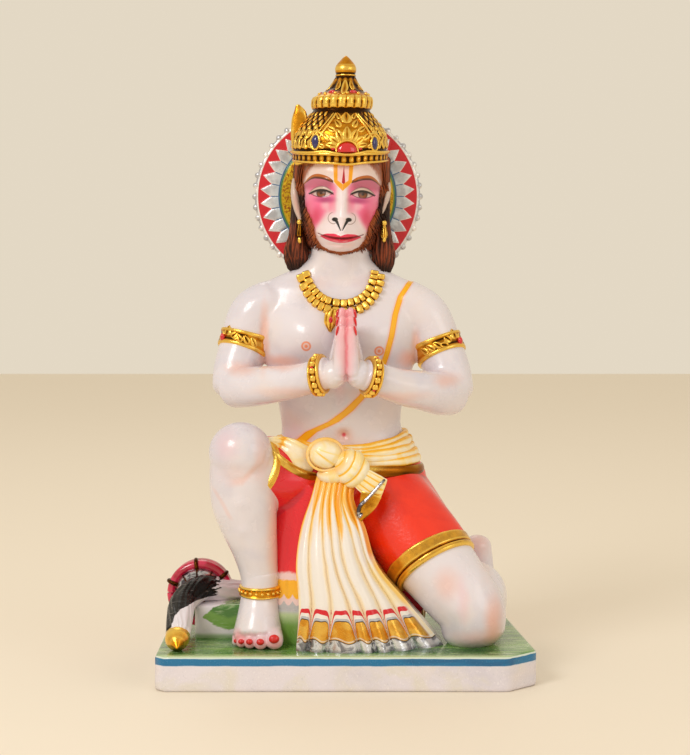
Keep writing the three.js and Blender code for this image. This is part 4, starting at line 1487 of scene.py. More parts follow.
fallEnd = {
    "top": 174,
    "bottom": -3,
    "left": [
        (-29, -50, 174), (-35, -55, 152), (-45, -60, 122), (-50, -71, 85), (-47, -80, 45), (-50, -86, -3)
    ],
    "right": [(12, -52, 174), (9, -58, 152), (21, -62, 122), (33, -67, 85), (65, -66, 45), (104, -58, -3)],
    "flutes": [  # share of the width where each flute ends: at the top, halfway and at the ground
        (0, 0.14, 0.28, 0.42, 0.56, 0.70, 0.85, 1), (0, 0.16, 0.375, 0.49, 0.60, 0.80, 0.90, 1),
        (0, 0.07, 0.20, 0.42, 0.53, 0.64, 0.80, 1),
    ],
    # share of the width, half width of the yellow at z 150, the height of its lower tip, how strong, colour
    "patches": [
        (0.13, 0.06, 130, 0.75, "saffron"), (0.28, 0.05, 120, 0.8, "saffron"),
        (0.43, 0.07, 112, 0.8, "saffron"), (0.62, 0.1, 108, 0.85, "saffron"),
        (0.62, 0.04, 116, 0.7, "saffronDeep"), (0.87, 0.13, 118, 0.85, "saffron"),
        (0.88, 0.06, 122, 0.7, "saffronDeep"),
    ],
}


def fluteAt(share, t):
    # Which flute a place lies in, with its fraction across it; t is 0 at the ground and 1 at the top.
    top, middle, low = (np.array(row) for row in fallEnd["flutes"])
    phase = np.zeros(len(share))
    for k in range(7):
        weights = [np.interp(t, [0, 0.5, 1], [row[j] for row in (low, middle, top)]) for j in (k, k + 1)]
        phase = phase + np.clip((share - weights[0]) / (weights[1] - weights[0]), 0, 1)
    return phase


def pleatedFall(material):
    left, right = smoothPath(fallEnd["left"][::-1]), smoothPath(fallEnd["right"][::-1])
    front = 0.8  # share of the way round that is the pleated front

    def climb(v):
        return (left(v)[:, 2] - fallEnd["bottom"]) / (fallEnd["top"] - fallEnd["bottom"])

    def section(u):
        share = np.where(
            u < front, u / front,
            np.interp(u, [front, 0.86, 0.89, 0.97, 0.99, 1], [1, 0.99, 0.92, 0.08, 0.01, 0])
        )
        back = np.interp(u, [0, front, 0.86, 0.89, 0.97, 0.99, 1], [0, 0, 44, 58, 58, 44, 0])
        return share, back

    def shape(u, v):
        share, back = section(u)
        low = 1 - climb(v)
        phase = fluteAt(share, 1 - low)
        flute = np.abs(np.sin(math.pi * phase)) ** 0.7
        inner = (u < front) * np.minimum(1, 12 * np.minimum(share, 1 - share))
        out = (5 + 17 * low) * np.sin(math.pi * share) + (2.4 + 5.2 * low) * (flute - 0.45) * inner
        a, b = left(v), right(v)
        place = a + (b - a) * share[:, None]
        place[:, 1] += np.where(back > 0, back, -out)
        return place

    def notes(u, v):
        share, back = section(u)
        phase = fluteAt(share, climb(v))
        return {
            "share": share, "height": left(v)[:, 2],
            "groove": np.where(back > 0, 0, (1 - np.abs(np.sin(math.pi * phase))) ** 2),
            "flute": np.clip(phase, 0, 6.999) % 1,
        }

    return finished(bentGrid("pleated_fall", 320, 100, shape, notes), material, hollows=(6, 0.6))


def shortFall(material, bandMaterial, curlMaterial):
    # The fan of cloth that leaves the knot on the viewer's right, with a silver curl and a gilded band below.
    def pleats(turn, t):
        return 0.9 * (np.abs(np.sin(turn * 6)) - 0.5) * step(t - 0.1, 0.1)

    fan = limb(
        "short_fall", sash["shortFall"], across=(0.72, 0, 0.7), columns=90, rows=30, relief=pleats,
        blunt=0.25
    )
    band = limb("short_fall_band", sash["shortBand"], across=(0.9, 0, 0.3), columns=50, rows=40, blunt=0.3)
    curl = joined("short_fall_curl", [
        rope("curl", [(x, y + back, z) for x, y, z in sash["curl"]], r, rows=90, columns=16)
        for back, r in sash["curlRolls"]
    ])
    for piece, over in ((fan, material), (band, bandMaterial), (curl, curlMaterial)):
        finished(piece, over, hollows=(5, 0.4))
    return fan


tail = {
    "stations": [
        (-25, 56, 118, 13), (-54, 70, 82, 13), (-82, 56, 50, 12.5), (-106, 28, 40, 12.5), (-130, 8, 45, 13),
        (-152, -8, 50, 13.5), (-168, -28, 40, 13.5), (-170.5, -54, 27, 13.4), (-170, -76, 17, 12.6),
    ],
    "cap": [
        (-170.5, -78, 13, 12.8), (-170.5, -86, 11, 12), (-170, -93, 9, 8), (-169.5, -98, 7, 3.5),
        (-169.5, -101, 5.6, 0.9)
    ],
}


def curledTail(material, tipMaterial):
    def fur(turn, t):
        return 0.45 * np.sin(turn * 13 + 30 * t + 2 * np.sin(turn * 3 + 21 * t))

    finished(limb("tail", tail["stations"], columns=110, rows=150, relief=fur), material)
    return finished(limb("tail_tip", tail["cap"], columns=50, rows=40), tipMaterial, hollows=(4, 0.4))


mace = {
    "centre": (-154, 16, 42),
    "ring": (30, 5.2),
    "front": -6,
    "bars": (97, 38, 158, 215, 270, 330),  # degrees round the ring
    "ribs": 5,
    "shaft": [(-150, 30, 34, 9), (-112, 92, 16, 8)],
    "block": ((-158, -102), (-24, 34), (-3, 36)),
    "boxiness": 0.22,
}


def maceHead(enamel, silverMaterial, giltMaterial, marbleMaterial):
    x0, y0, z0 = mace["centre"]
    wide, thick = mace["ring"]
    turns = np.linspace(0, 2 * math.pi, 24, endpoint=False)
    ring = np.stack(
        [x0 + wide * np.cos(turns), np.full(24, y0 + mace["front"]), z0 + wide * np.sin(turns)], 1
    )
    tube = rope("tube", ring, thick, closed=True, rows=120, columns=20)
    behind = ball("behind", (x0, y0 + 14, z0), (34, 26, 34), columns=70, rows=50)
    finished(joined("mace_ring_and_back", [tube, behind]), enamel)
    finished(ball("mace_dome", (x0, y0 - 4, z0), (27.5, 23, 27.5), columns=60, rows=44), silverMaterial)
    bars = []
    for turn in mace["bars"]:
        at = math.radians(turn)
        cx, cz = x0 + wide * math.cos(at), z0 + wide * math.sin(at)
        hoop = np.stack([
            cx + 5.9 * np.cos(turns) * math.cos(at), y0 + mace["front"] + 5.9 * np.sin(turns),
            cz + 5.9 * np.cos(turns) * math.sin(at)
        ], 1)
        bars.append(rope("bar", hoop, 2.2, closed=True, rows=48, columns=12))
    for k in range(mace["ribs"]):
        at = math.radians(97 + 180 * k / mace["ribs"])
        arc = np.radians(np.linspace(-80, 80, 15))
        rib = np.stack([
            x0 + 27.6 * np.sin(arc) * math.cos(at), y0 - 4 - 23.2 * np.cos(arc),
            z0 + 27.6 * np.sin(arc) * math.sin(at)
        ], 1)
        bars.append(rope("rib", rib, 1.0, rows=60, columns=8))
    bars.append(ball("boss", (x0, y0 - 27, z0), (4, 2.6, 4), columns=20, rows=14))
    bars.append(limb("shaft", mace["shaft"], columns=30, rows=30))
    finished(joined("mace_gilding", bars), giltMaterial)
    (xa, xb), (ya, yb), (za, zb) = mace["block"]

    def boxy(value):
        return np.sign(value) * np.abs(value) ** mace["boxiness"]

    def blockShape(u, v):
        # A lump of rock left under the mace: boxy, with worn edges.
        turn, climb = 2 * math.pi * u, math.pi * (v - 0.5)
        level = boxy(np.abs(np.cos(climb)))
        x = (xa + xb) / 2 + (xb - xa) / 2 * boxy(np.cos(turn)) * level
        y = (ya + yb) / 2 + (yb - ya) / 2 * boxy(np.sin(turn)) * level
        return np.stack([x, y, (za + zb) / 2 + (zb - za) / 2 * boxy(np.sin(climb))], 1)

    return finished(bentGrid("rock_under_mace", 90, 60, blockShape), marbleMaterial)


plinth = {  # millimetres
    "width": 366,
    "depth": 218,
    "frontCut": 29,
    "sideTaper": 16,
    "cornerEase": 9,
    "edgeEase": 2.5,
}


def plinthBlock(material):
    x, y, ease = plinth["width"] / 2, plinth["depth"] / 2, plinth["cornerEase"]
    cut, taper = plinth["frontCut"], plinth["sideTaper"]
    corners = np.array([
        (-x + ease, -y), (x - cut, -y), (x, -y + cut), (x - taper, y - ease), (x - taper - ease, y),
        (-x + ease, y), (-x, y - ease), (-x, -y + ease), (-x + ease, -y),
    ], float)
    lengths = np.concatenate([[0], np.cumsum(np.linalg.norm(np.diff(corners, axis=0), axis=1))])
    lengths /= lengths[-1]
    low, high, edge = 0.0, block["plinthHeight"] * 1000, plinth["edgeEase"]
    rim = [  # v, share of the outline, height, how far drawn in
        (0.0, 0.0, low, edge), (0.16, 1.0, low, edge), (0.175, 1.0, low + 0.3 * edge, 0.3 * edge),
        (0.19, 1.0, low + edge, 0.0), (0.42, 1.0, high - edge, 0.0),
        (0.435, 1.0, high - 0.3 * edge, 0.3 * edge), (0.45, 1.0, high, edge), (1.0, 0.0, high, edge),
    ]
    places, shares, heights, insets = np.array(rim).T

    def shape(u, v):
        outline = np.stack([np.interp(u, lengths, corners[:, k]) for k in range(2)], 1)
        share, height, drawIn = (np.interp(v, places, column) for column in (shares, heights, insets))
        reach = np.linalg.norm(outline, axis=1)
        outline = outline * (share * (1 - drawIn / reach))[:, None]
        return inUnits(np.column_stack([outline, height]) / 1000)

    return finished(bentGrid("plinth", 180, 60, shape), material)


jewels = {
    "collarInner": [
        (-39, 386), (-33.4, 372.7), (-25.5, 363.3), (-17.8, 358), (-1, 355), (11.5, 358.5), (20.9, 365.4),
        (26.1, 379), (28, 387)
    ],
    "collarOuter": [
        (-50.2, 380), (-42.8, 360.1), (-33.4, 348.6), (-19.9, 341.3), (-1, 338), (17.8, 341.3),
        (29.3, 350.7), (38.6, 364), (41, 380)
    ],
    "beadsPerRow": 17,
    "armlets": {"rightUpperArm": (0.42, 0.578), "leftUpperArm": (0.45, 0.61)},
    "bracelets": {"rightForearm": (0.845, 0.955, 0.032), "leftForearm": (0.865, 0.975, -0.024)},
    "anklet": (0.89, 0.952),
    "crest": [  # how far up the arm and round it from the gem, length, width, lean in degrees
        (-1.5, 0, 12, 12, 0), (-3, -6.5, 11.5, 10, -34), (-3, 6.5, 11.5, 10, 34), (-6, 11, 10.5, 9, 64),
        (-6, -10, 10.5, 8.5, -64),
    ],
    "scrolls": 3,
    "perUnit": 0.0097,  # share of the upper arm's length in one unit
    "armRadius": 26,
    "braceletGems": (2.6, 4.5),
    "behindNeck": [(-46, 10, 386), (-34, 30, 390), (-5, 40, 391), (24, 30, 390), (38, 10, 386)],
    "pendant": (-14.6, 331),
    "earrings": [(-47.2, 435, 21), (40.6, 434, 19)],  # x, height of the stud, length
}


def necklace(material, strapMaterial, gemMaterial, chest):
    inner = smoothPath([(x, 0, z) for x, z in jewels["collarInner"]])
    outer = smoothPath([(x, 0, z) for x, z in jewels["collarOuter"]])
    parts, gems, straps = [], [], []
    for row in (0.26, 0.76):
        t = (np.arange(jewels["beadsPerRow"]) + 0.5) / jewels["beadsPerRow"]
        line = inner(t) * (1 - row) + outer(t) * row
        for k, (x, _, z) in enumerate(line):
            place, normal = skinAt(chest, x, z)
            if place is None:
                continue
            ahead = np.gradient(line, axis=0)[k]
            lean = math.degrees(math.atan2(ahead[2], ahead[0]))
            gap = np.linalg.norm(ahead) * 0.5
            turnX, _, turnZ = facing(normal)
            halves, turned = (gap * 0.93, 3.8, 4.3), (turnX, -lean, turnZ)
            parts.append(ball("bead", place - (0, 2.0, 0), halves, turned, columns=22, rows=16, square=0.45))
        under = [place for place, _ in (skinAt(chest, x, z) for x, _, z in line) if place is not None]
        straps.append(rope("strap", under, 4.4, rows=140, columns=20, flat=0.5))
    for lift in (0, -7):
        chain = [(x, y, z + lift) for x, y, z in jewels["behindNeck"]]
        parts.append(rope("chain", chain, 3.9, rows=120, columns=14))
    place, _ = skinAt(chest, *jewels["pendant"])
    front = place[1] - 2.5
    parts.append(limb("pendant", [
        (-12, front, 344, 4, 3), (-13.4, front - 0.5, 339, 7.4, 4), (-14.6, front - 0.5, 332, 7.0, 4),
        (-15.4, front, 323, 1.6, 2),
    ], columns=40, rows=40, relief=lambda turn, t: 0.5 * np.abs(np.sin(4 * turn))))
    gems.append(ball("pendantGem", (-14.6, front - 4.2, 334.5), (2.4, 1.6, 3.6), columns=20, rows=14))
    finished(joined("necklace", parts), material, hollows=(4, 0.4))
    finished(joined("necklace_strap", straps), strapMaterial)
    return finished(joined("necklace_gem", gems), gemMaterial)


def cuff(stations, from_, to, swell, across=(0, 1, 0), rimHeight=1.2, rimWidth=0.12, tilt=0.0):
    # A band round a limb with a raised rim at each edge. tilt moves its upper and lower sides along the limb.
    def rims(turn, t):
        share = (t - tilt * np.sin(turn) - from_) / (to - from_)
        return rimHeight * (bell(share - 0.1, rimWidth) + bell(share - 0.9, rimWidth))

    edges = [lambda turn, edge=edge: edge + tilt * np.sin(turn) for edge in (from_, to)]
    return limb("cuff", stations, across=across, start=edges[0], stop=edges[1], swell=swell,
                columns=80, rows=30, blunt=0.04, relief=rims)


def studs(stations, t, swell, count, halves, across=(0, 1, 0), tilt=0.0, square=1.0):
    skin = onLimb(stations, across)
    made = []
    for k in range(count):
        turn = 2 * math.pi * k / count
        place = skin(np.array([t + tilt * math.sin(turn)]), np.array([turn]), np.array([swell]))[0]
        made.append(ball("stud", place, halves, columns=12, rows=8, square=square))
    return made


def limbLeaf(skin, t, turn, length, width, lean):
    # A carved leaf lying on the arm, its foot at (t, turn) and its tip up the arm.
    def shape(u, v):
        sideways, upward, lift = leafForm(u, v, length, width, lean, 2.4, 0.7)
        return skin(t - upward * jewels["perUnit"], turn + sideways / jewels["armRadius"], lift)

    return bentGrid("armLeaf", 16, 14, shape)


def armRings(material, gemMaterial):
    gilt, gems = [], []
    for arm, (from_, to) in jewels["armlets"].items():
        outward = -1 if arm.startswith("right") else 1
        skin = onLimb(body[arm], (0, 1, 0))
        gilt.append(cuff(body[arm], from_, to, 1.0))
        front = outward * 2.3  # the gem's turn round the arm
        middle = (from_ + to) / 2
        for up, away, length, width, lean in jewels["crest"]:
            at, turn = middle - up * jewels["perUnit"], front + away / jewels["armRadius"]
            gilt.append(limbLeaf(skin, at, turn, length, width, lean))
        for k in range(jewels["scrolls"]):
            gilt.append(limbLeaf(skin, to - 0.03, front + outward * (0.72 + 0.3 * k), 12, 8, 38))
        place = skin(np.array([middle + 0.035]), np.array([outward * 2.1]), np.array([2.0]))[0]
        gems.append(ball("gem", place, (3.0, 2.6, 4.2), turned=(0, 0, outward * 50), columns=20, rows=14))
    for arm, (from_, to, tilt) in jewels["bracelets"].items():
        gilt.append(cuff(body[arm], from_, to, 2.2, rimHeight=1.8, rimWidth=0.15, tilt=tilt))
        gilt += studs(body[arm], (from_ + to) / 2, 2.6, 16, (3.1, 2.4, 3.1), tilt=tilt, square=0.65)
        for turn in jewels["braceletGems"]:
            at = (from_ + to) / 2 + tilt * math.sin(turn)
            place = onLimb(body[arm], (0, 1, 0))(np.array([at]), np.array([turn]), np.array([3.8]))[0]
            gems.append(ball("gem", place, (1.7, 1.7, 1.7), columns=14, rows=10))
    from_, to = jewels["anklet"]
    gilt.append(cuff(body["raisedShin"], from_, to, 1.6, across=(1, 0, 0), rimHeight=1.0))
    gilt += studs(body["raisedShin"], (from_ + to) / 2, 2.2, 22, (1.8, 1.8, 1.8), across=(1, 0, 0))
    finished(joined("arm_and_ankle_rings", gilt), material, hollows=(4, 0.4))
    return finished(joined("armlet_gems", gems), gemMaterial)


def earrings(material):
    parts = []
    y = -8
    for x, top, length in jewels["earrings"]:
        parts.append(ball("stud", (x, y, top), (3.0, 2.6, 3.0), columns=18, rows=12))
        drop = [(x, y, top - below, r) for below, r in ((3, 1.8), (7, 2.8), (12, 3.7), (14.5, 3.0))]
        parts.append(limb("bell", drop, columns=26, rows=24, relief=lambda turn, t: 0.3 * np.sin(8 * turn)))
        parts.append(ball("drop", (x, y, top - length + 2.5), (2.2, 2.2, 3.6), columns=14, rows=10))
    return finished(joined("earrings", parts), material, hollows=(3, 0.3))


def mottle(paint):
    # The stone itself: white, with cool clouds, a few warm ones and the faintest veins.
    clouds = paint.noise(0.011, 4, 0.6, 0.6)
    warm = paint.noise(0.017, 3, 0.5, 0.4, paint.stretched((0.017, 0.017, 0.017), (0.6, 0.3, 1.2)))
    vein = paint.noise(0.03, 4, 0.6, 0.4)
    base = paint.mix(clouds.rise(0.42, 0.72) * 0.7, tint["marble"], tint["marbleCool"])
    base = paint.mix(warm.rise(0.5, 0.74) * 0.7, base, tint["marbleWarm"])
    return paint.mix(vein.rise(0.6, 0.8) * 0.3, base, tint["vein"])


blush = {  # x, z, half width, half height, how strong, colour
    "chest": [
        (-84, 316, 6, 40, 0.5, "blush"), (-66, 291, 26, 8, 0.55, "blush"), (74, 310, 6, 17, 0.5, "blush"),
        (66, 293, 14, 12, 0.6, "blush"), (-108, 284, 20, 9, 0.4, "blush"), (105, 273, 18, 9, 0.4, "blush"),
        (-30, 372, 22, 10, 0.12, "blush"), (22, 372, 22, 10, 0.12, "blush"),
        (-48, 262, 50, 7, 0.3, "blush"), (46, 258, 48, 7, 0.3, "blush"), (-5, 284, 9, 40, 0.25, "pink"),
        (-1.2, 215, 12, 10, 0.5, "blush"), (-5, 200, 60, 14, 0.25, "blush"),
    ],
    "hands": [
        (1.3, 342, 15, 26, 0.85, "pink"), (1.3, 312, 15, 34, 0.55, "pink"), (1.3, 286, 8, 22, 0.35, "pink"),
        (1.3, 310, 2.0, 50, 0.55, "rose"), (-9, 331, 3, 12, 0.4, "rose"), (11, 331, 3, 12, 0.4, "rose"),
        (-26, 270, 10, 18, 0.2, "blush"), (28, 270, 10, 18, 0.2, "blush"),
    ],
    "raisedLeg": [
        (-108, 180, 26, 12, 0.15, "blush"), (-84, 196, 10, 34, 0.25, "blush"),
        (-70, 120, 12, 60, 0.35, "blush"), (-108, 44, 10, 14, 0.3, "blush"), (-70, 46, 8, 14, 0.3, "blush"),
        (-120, 210, 16, 20, 0.2, "pink"),
    ],
    "foot": [
        (-72, 6, 12, 14, 0.75, "pink"), (-86, 5, 9, 12, 0.75, "pink"), (-97, 5, 8, 12, 0.75, "pink"),
        (-105.5, 6, 7, 11, 0.75, "pink"), (-111, 9, 7, 11, 0.75, "pink"),
    ],
    "kneelingLeg": [
        (152, 26, 12, 34, 0.55, "blush"), (136, 10, 34, 12, 0.35, "blush"),
        (104, 66, 16, 20, 0.35, "blush"), (120, 50, 8, 30, 0.2, "pink"), (150, 90, 14, 26, 0.3, "blush"),
    ],
}


def markSpots(x, z, spots):
    made = []
    for atX, atZ, wide, high, strong, colour in spots:
        made.append((oval(x - atX, wide, z - atZ, high).fall(0.1, 1.25) * strong, tint[colour]))
    return made


thread = [  # z, then x where the cord crosses the chest
    (200, -56), (208, -45.5), (217.5, -35), (228.9, -12), (240.3, 3.1), (255.6, 18.5), (287, 39.4),
    (298, 43), (317, 48), (339, 52), (358, 58), (371, 67), (380, 76),
]


def skinPaint(name, spots, withThread=False):
    paint = Paint(name)
    x, y, z = paint.axes()
    wobble = (paint.noise(0.05, 2) - 0.5) * 7
    layers = markSpots(x + wobble, z + wobble, blush[spots])
    if spots == "raisedLeg":
        onKnee = (
            z - x.follow([(-121, 170.6), (-103, 173.6), (-91, 186.8), (-84, 199)])
        ).size().fall(0.5, 7) * x.within(-116, -88, 8)
        onCalf = (
            (x - z.follow([(133, -115.4), (151, -124.8), (165, -134)])).size().fall(0.5, 4)
            * z.within(134, 164, 4)
        )
        layers += [
            (onKnee * y.fall(-60, -50) * 0.25, tint["blush"]),
            (onCalf * y.fall(-50, -40) * 0.2, tint["blush"])
        ]
    if withThread:
        front = y.fall(7, 11) * y.rise(-50, -46)
        width = z.follow([(208, 6.4), (238, 5.6), (262, 4.2), (290, 3.1), (371, 3.2)])
        away = (x - z.follow(thread)).size() / width
        behind = (x - z.follow([(190, -69), (200, -62), (375, 66), (386, 74)])).size() * (1 / 3.8)
        cord = front * away.fall(0.85, 1.05) + y.rise(6, 12) * behind.fall(0.85, 1.05)
        edge = front * away.rise(0.45, 0.95) + y.rise(6, 12) * behind.rise(0.45, 0.95)
        layers += [
            (front * away.fall(0.9, 1.9) * 0.4, tint["blush"]), (cord, tint["saffron"]),
            (cord * edge * 0.7, tint["saffronDeep"])
        ]
        for atX, atZ in ((-40, 307.3), (35.2, 302.1)):
            ring = ((x - atX) ** 2 + (z - atZ) ** 2).root()
            onChest = y.fall(-6, 0)
            layers += [
                (ring.fall(4.4, 5.6) * onChest * 0.35, tint["blush"]),
                (ring.near(4.2, 1.6) * onChest * 0.95, tint["nipple"]),
                (ring.fall(1.2, 2.4) * onChest * 0.9, tint["nipple"]),
            ]
        hollow = ((x + 1.2) ** 2 + (z - 215) ** 2).root()
        layers.append((hollow.fall(0.8, 3.4) * y.fall(-6, 0) * 0.9, tint["rose"]))
    grain = paint.noise(0.35, 3)
    return paint.gloss(
        paint.coats(mottle(paint), layers), roughness=0.2 + paint.noise(0.06, 2) * 0.12, coat=0.3,
        bump=grain, depth=0.08, under=0.06
    )


def headAxes(paint):
    # Across the upright head, back through the carving, and up the head.
    x, y, z = paint.axes()
    angle = math.radians(head["leans"])
    x0, _, z0 = head["between"]
    p = (x - x0) * math.cos(angle) - (z - z0) * math.sin(angle)
    return p, y, (x - x0) * math.sin(angle) + (z - z0) * math.cos(angle)


def facePaint():
    paint = Paint("face paint")
    p, y, q = headAxes(paint)
    side = p.size()
    eye = head["eye"]
    soft = (paint.noise(0.09, 2) - 0.5) * 5
    strands = paint.noise(1.0, 3, 0.6, 0, paint.stretched((0.62, 0.62, 0.09), (0, 0.35, 0)))
    layers = []
    frontal = y.fall(-4, 4)

    def add(share, colour):
        layers.append((share * frontal, tint[colour]))

    # Warm forehead, then the rose that lies from the brows down over the cheeks.
    add(q.rise(8, 18) * 0.55, "skinWarm")
    across = (side - 27) * (side - 27)
    browLine = paint.blend(side.rise(26.9, 27.1), 17.3 - across * 0.0173, 17.3 - across * 0.047)
    underBrow = (browLine - q).rise(0, 2)
    around = underBrow * (q + 17 + (side - 13.5) * 1.5).rise(-8, 7) * side.fall(35, 43) * side.rise(3.5, 10)
    add(around * 0.85, "roseLight")
    add(underBrow * q.rise(0, 7) * side.rise(7, 13) * side.fall(38, 43) * 0.85, "duskRose")
    onCheek = (q + 16 + (side - 13.5) * 1.5).rise(-7, 6)
    cheek = oval(side + soft * 0.4 - 27, 15, q + soft * 0.6 + 15, 22)
    add(cheek.fall(0.3, 1.3) * onCheek * 0.62, "roseDeep")
    spot = oval(side + q * 0.2 - 22, 8, q + 25, 14)
    add(spot.fall(0.1, 1.25) * (q + 19 + (side - 13.5) * 1.5).rise(-6, 6) * 0.72, "cheekRed")
    # A painted highlight, pale pink, on each cheek under the eye.
    cheekHighlight = oval(side - 15.5, 6, q + 12.5, 5)
    add(cheekHighlight.fall(0.2, 1.4) * 0.45, "pinkPale")
    add(side.rise(29, 34) * side.fall(35, 40) * q.within(-36, -10, 5) * 0.3, "rose")
    # The bridge and tip of the nose and the muzzle stay pale.
    bridge = q.follow([(-40, 20), (-30, 15), (-20, 8), (-6, 5.5), (6, 4)])
    add((bridge - side).rise(-3, 4) * q.fall(0, 8) * 0.92, "skinPale")
    add((side * 0.5 + (q + 36).size()).fall(8, 20) * side.fall(20, 30) * 0.5, "skinPale")
    add((side - 9.5).size().fall(1.5, 6) * q.within(-20, 8, 4) * 0.5, "roseDeep")
    # Eyes.
    upper, lower, fold = upperLash(side), lowerLash(side), lidFold(side)
    across, wide = acrossEye(side), acrossEye(side, eye["foldBeyond"])
    inEye = (upper - q).rise(-0.3, 0.3) * (q - lower).rise(-0.3, 0.3)
    smudge = oval(side - 17, 11, q + 6.4, 3.8)
    add(smudge.fall(0.2, 1.4) * 0.85, "plum")
    lid = (q - upper).rise(-0.2, 0.4) * (fold - q).rise(-0.5, 0.7) * across.size().fall(0.96, 1.12)
    add(lid * 0.92, "lidCream")
    add((q - fold).size().fall(0.2, 1.3) * wide.size().fall(0.8, 1.0) * 0.45, "browBrown")
    add((q - fold + 2.6).size().fall(0.2, 2.2) * wide.size().fall(0.7, 1.0) * 0.25, "skinWarm")
    add(inEye, "eyeWhite")
    add(inEye * across.size().rise(0.55, 0.95) * 0.55, "rose")
    irisP, irisQ = eye["iris"]
    iris = ((side - irisP) ** 2 + (q - irisQ) ** 2).root()
    add(inEye * iris.fall(eye["irisSize"] - 0.6, eye["irisSize"] + 0.3), "irisDark")
    # The iris darkens towards its top, and the eye darkens just under the upper lid: painted shade from the
    # lid.
    add(inEye * iris.fall(eye["irisSize"] - 1.5, eye["irisSize"] - 0.5) * q.fall(-2.0, 2.8), "iris")
    add(inEye * iris.fall(1.1, 1.9), "irisDark")
    add(inEye * (upper - q).fall(0.4, 2.4) * 0.75, "irisDark")
    lash = (q - upper - 0.2).size().fall(0.7, 1.35) * across.size().fall(1.0, 1.16)
    add(lash, "lash")
    add((q - lower).size().fall(0.25, 0.85) * across.size().fall(0.94, 1.1) * 0.8, "plumDark")
    corner = oval(side - eye["p"] - eye["half"] - 0.6, 1.8, q - eye["q"] - 0.2, 0.8)
    add(corner.fall(0.5, 1.2), "lash")
    # Brows: amber above, dark brown below.
    thick = side.follow([(9, 1.1), (14, 2.2), (26, 2.5), (36, 1.6), (40.4, 0.4)])
    brow = (thick - (q - browLine).size()).rise(-0.35, 0.35) * side.within(9.3, 40.4, 0.5)
    add(brow, "browBrown")
    add(brow * (q - browLine).rise(-1.2, 0.6) * side.rise(9, 14), "amber")
    # The mark on the forehead.
    middle = (p - 0.6).size()
    outer = q.follow([(2.6, 0), (9, 6.6), (12, 9.2), (31, 10.4)])
    inner = q.follow([(9.6, 0), (13.5, 5.4), (31, 6.0)])
    mark = (outer - middle).rise(-0.3, 0.3) * (middle - inner).rise(-0.3, 0.3) * q.rise(2.4, 3.2)
    add(mark, "tilak")
    add(mark * (outer - middle).fall(0.2, 1.2) * 0.5, "saffron")
    add((inner - middle).rise(-0.3, 0.5) * q.rise(10, 11.5) * 0.6, "skinPink")
    drop = q.follow([(9.6, 0), (11.2, 1.7), (13.5, 1.6), (27.5, 0.25)])
    add((drop - (p - 1.2).size()).rise(-0.2, 0.3) * q.within(10, 27.6, 0.3), "lipRed")
    # Nose.
    nose = (p - 0.7).size()
    ala = (((nose - 8.2) ** 2) + ((q + 25) ** 2)).root()
    add(ala.near(5.9, 0.75) * (nose - 8.2 - (q + 25) * 0.35).rise(-2.5, 1.5) * 0.7, "umber")
    nostril = oval(nose - 7.1, 3.3, q + 26.4, 2.2)
    add(nostril.fall(0.8, 1.1), "black")
    wing = q.follow([(-37.9, 0.8), (-33.2, 2.9), (-29.2, 4.9), (-26.5, 6.4)])
    wide = q.follow([(-37.9, 0.4), (-33, 1.0), (-28.5, 1.7)])
    add((wide - (nose - wing).size()).rise(-0.25, 0.25) * q.within(-37.9, -27, 0.3), "black")
    # Mouth.
    line = lipLine(p)
    hump = (side - 10.5) * (side - 10.5)
    top = (-40.6 - hump * 0.025).least(side.follow([(17, 0), (23.4, -1.6)]) - 40.9)
    low = lowerLip(p) - 0.3
    lips = (top - q).rise(-0.3, 0.4) * (q - low).rise(-0.3, 0.4)
    add(lips, "lip")
    add(lips * (q - line).within(-1.6, 1.4, 0.8) * 0.75, "lipRed")
    add(lips * (q - low).fall(0.3, 1.6) * 0.3, "roseDeep")
    # Painted highlights on either side of the middle of the lower lip.
    add(lips * (q - low).within(1.0, 2.0, 0.5) * (side - 5).size().fall(1, 4) * 0.35, "skinPink")
    corners = (0.75 - (q - line).size() - (side - 12) * 0.022).rise(-0.3, 0.2) * side.fall(23.4, 24.4)
    add(corners * 0.8, "lipDark")
    add((q - low + 3.5).near(0, 3.4) * side.fall(8, 18) * 0.35, "skinPink")
    # Skin gives way to fur outside the face.
    edge = q.follow(head["faceEdge"])
    beyond = side - edge + (strands - 0.5) * 7
    layers.append((beyond.rise(-3, 2.4), tint["furWarm"]))
    layers.append(
        (
            beyond.rise(1.5, 6) * (q.fall(-8, 2) * 0.8 + strands.fall(0.42, 0.55) * 0.5).least(1.0),
            tint["furDark"]
        )
    )
    layers.append((y.rise(4, 12), tint["furDark"]))
    onEar = (
        (side - q.follow([(-36, 38), (-20, 41), (-5, 44), (14, 46.5)])).rise(-0.3, 0.5) * y.fall(2, 6)
        * q.fall(15, 17)
    )
    layers.append((onEar, tint["earPale"]))
    layers.append((onEar * (y + 12).size().fall(1, 5) * 0.6, tint["earPink"]))
    base = paint.mix(paint.noise(0.03, 3).rise(0.35, 0.7), tint["skin"], tint["skinPale"])
    rough = paint.blend(lips * frontal, 0.2, 0.08)
    grain = strands * beyond.rise(-1, 2)
    return paint.gloss(
        paint.coats(base, layers), roughness=rough + 0.08, coat=0.12, bump=grain, depth=0.5, under=0.05
    )


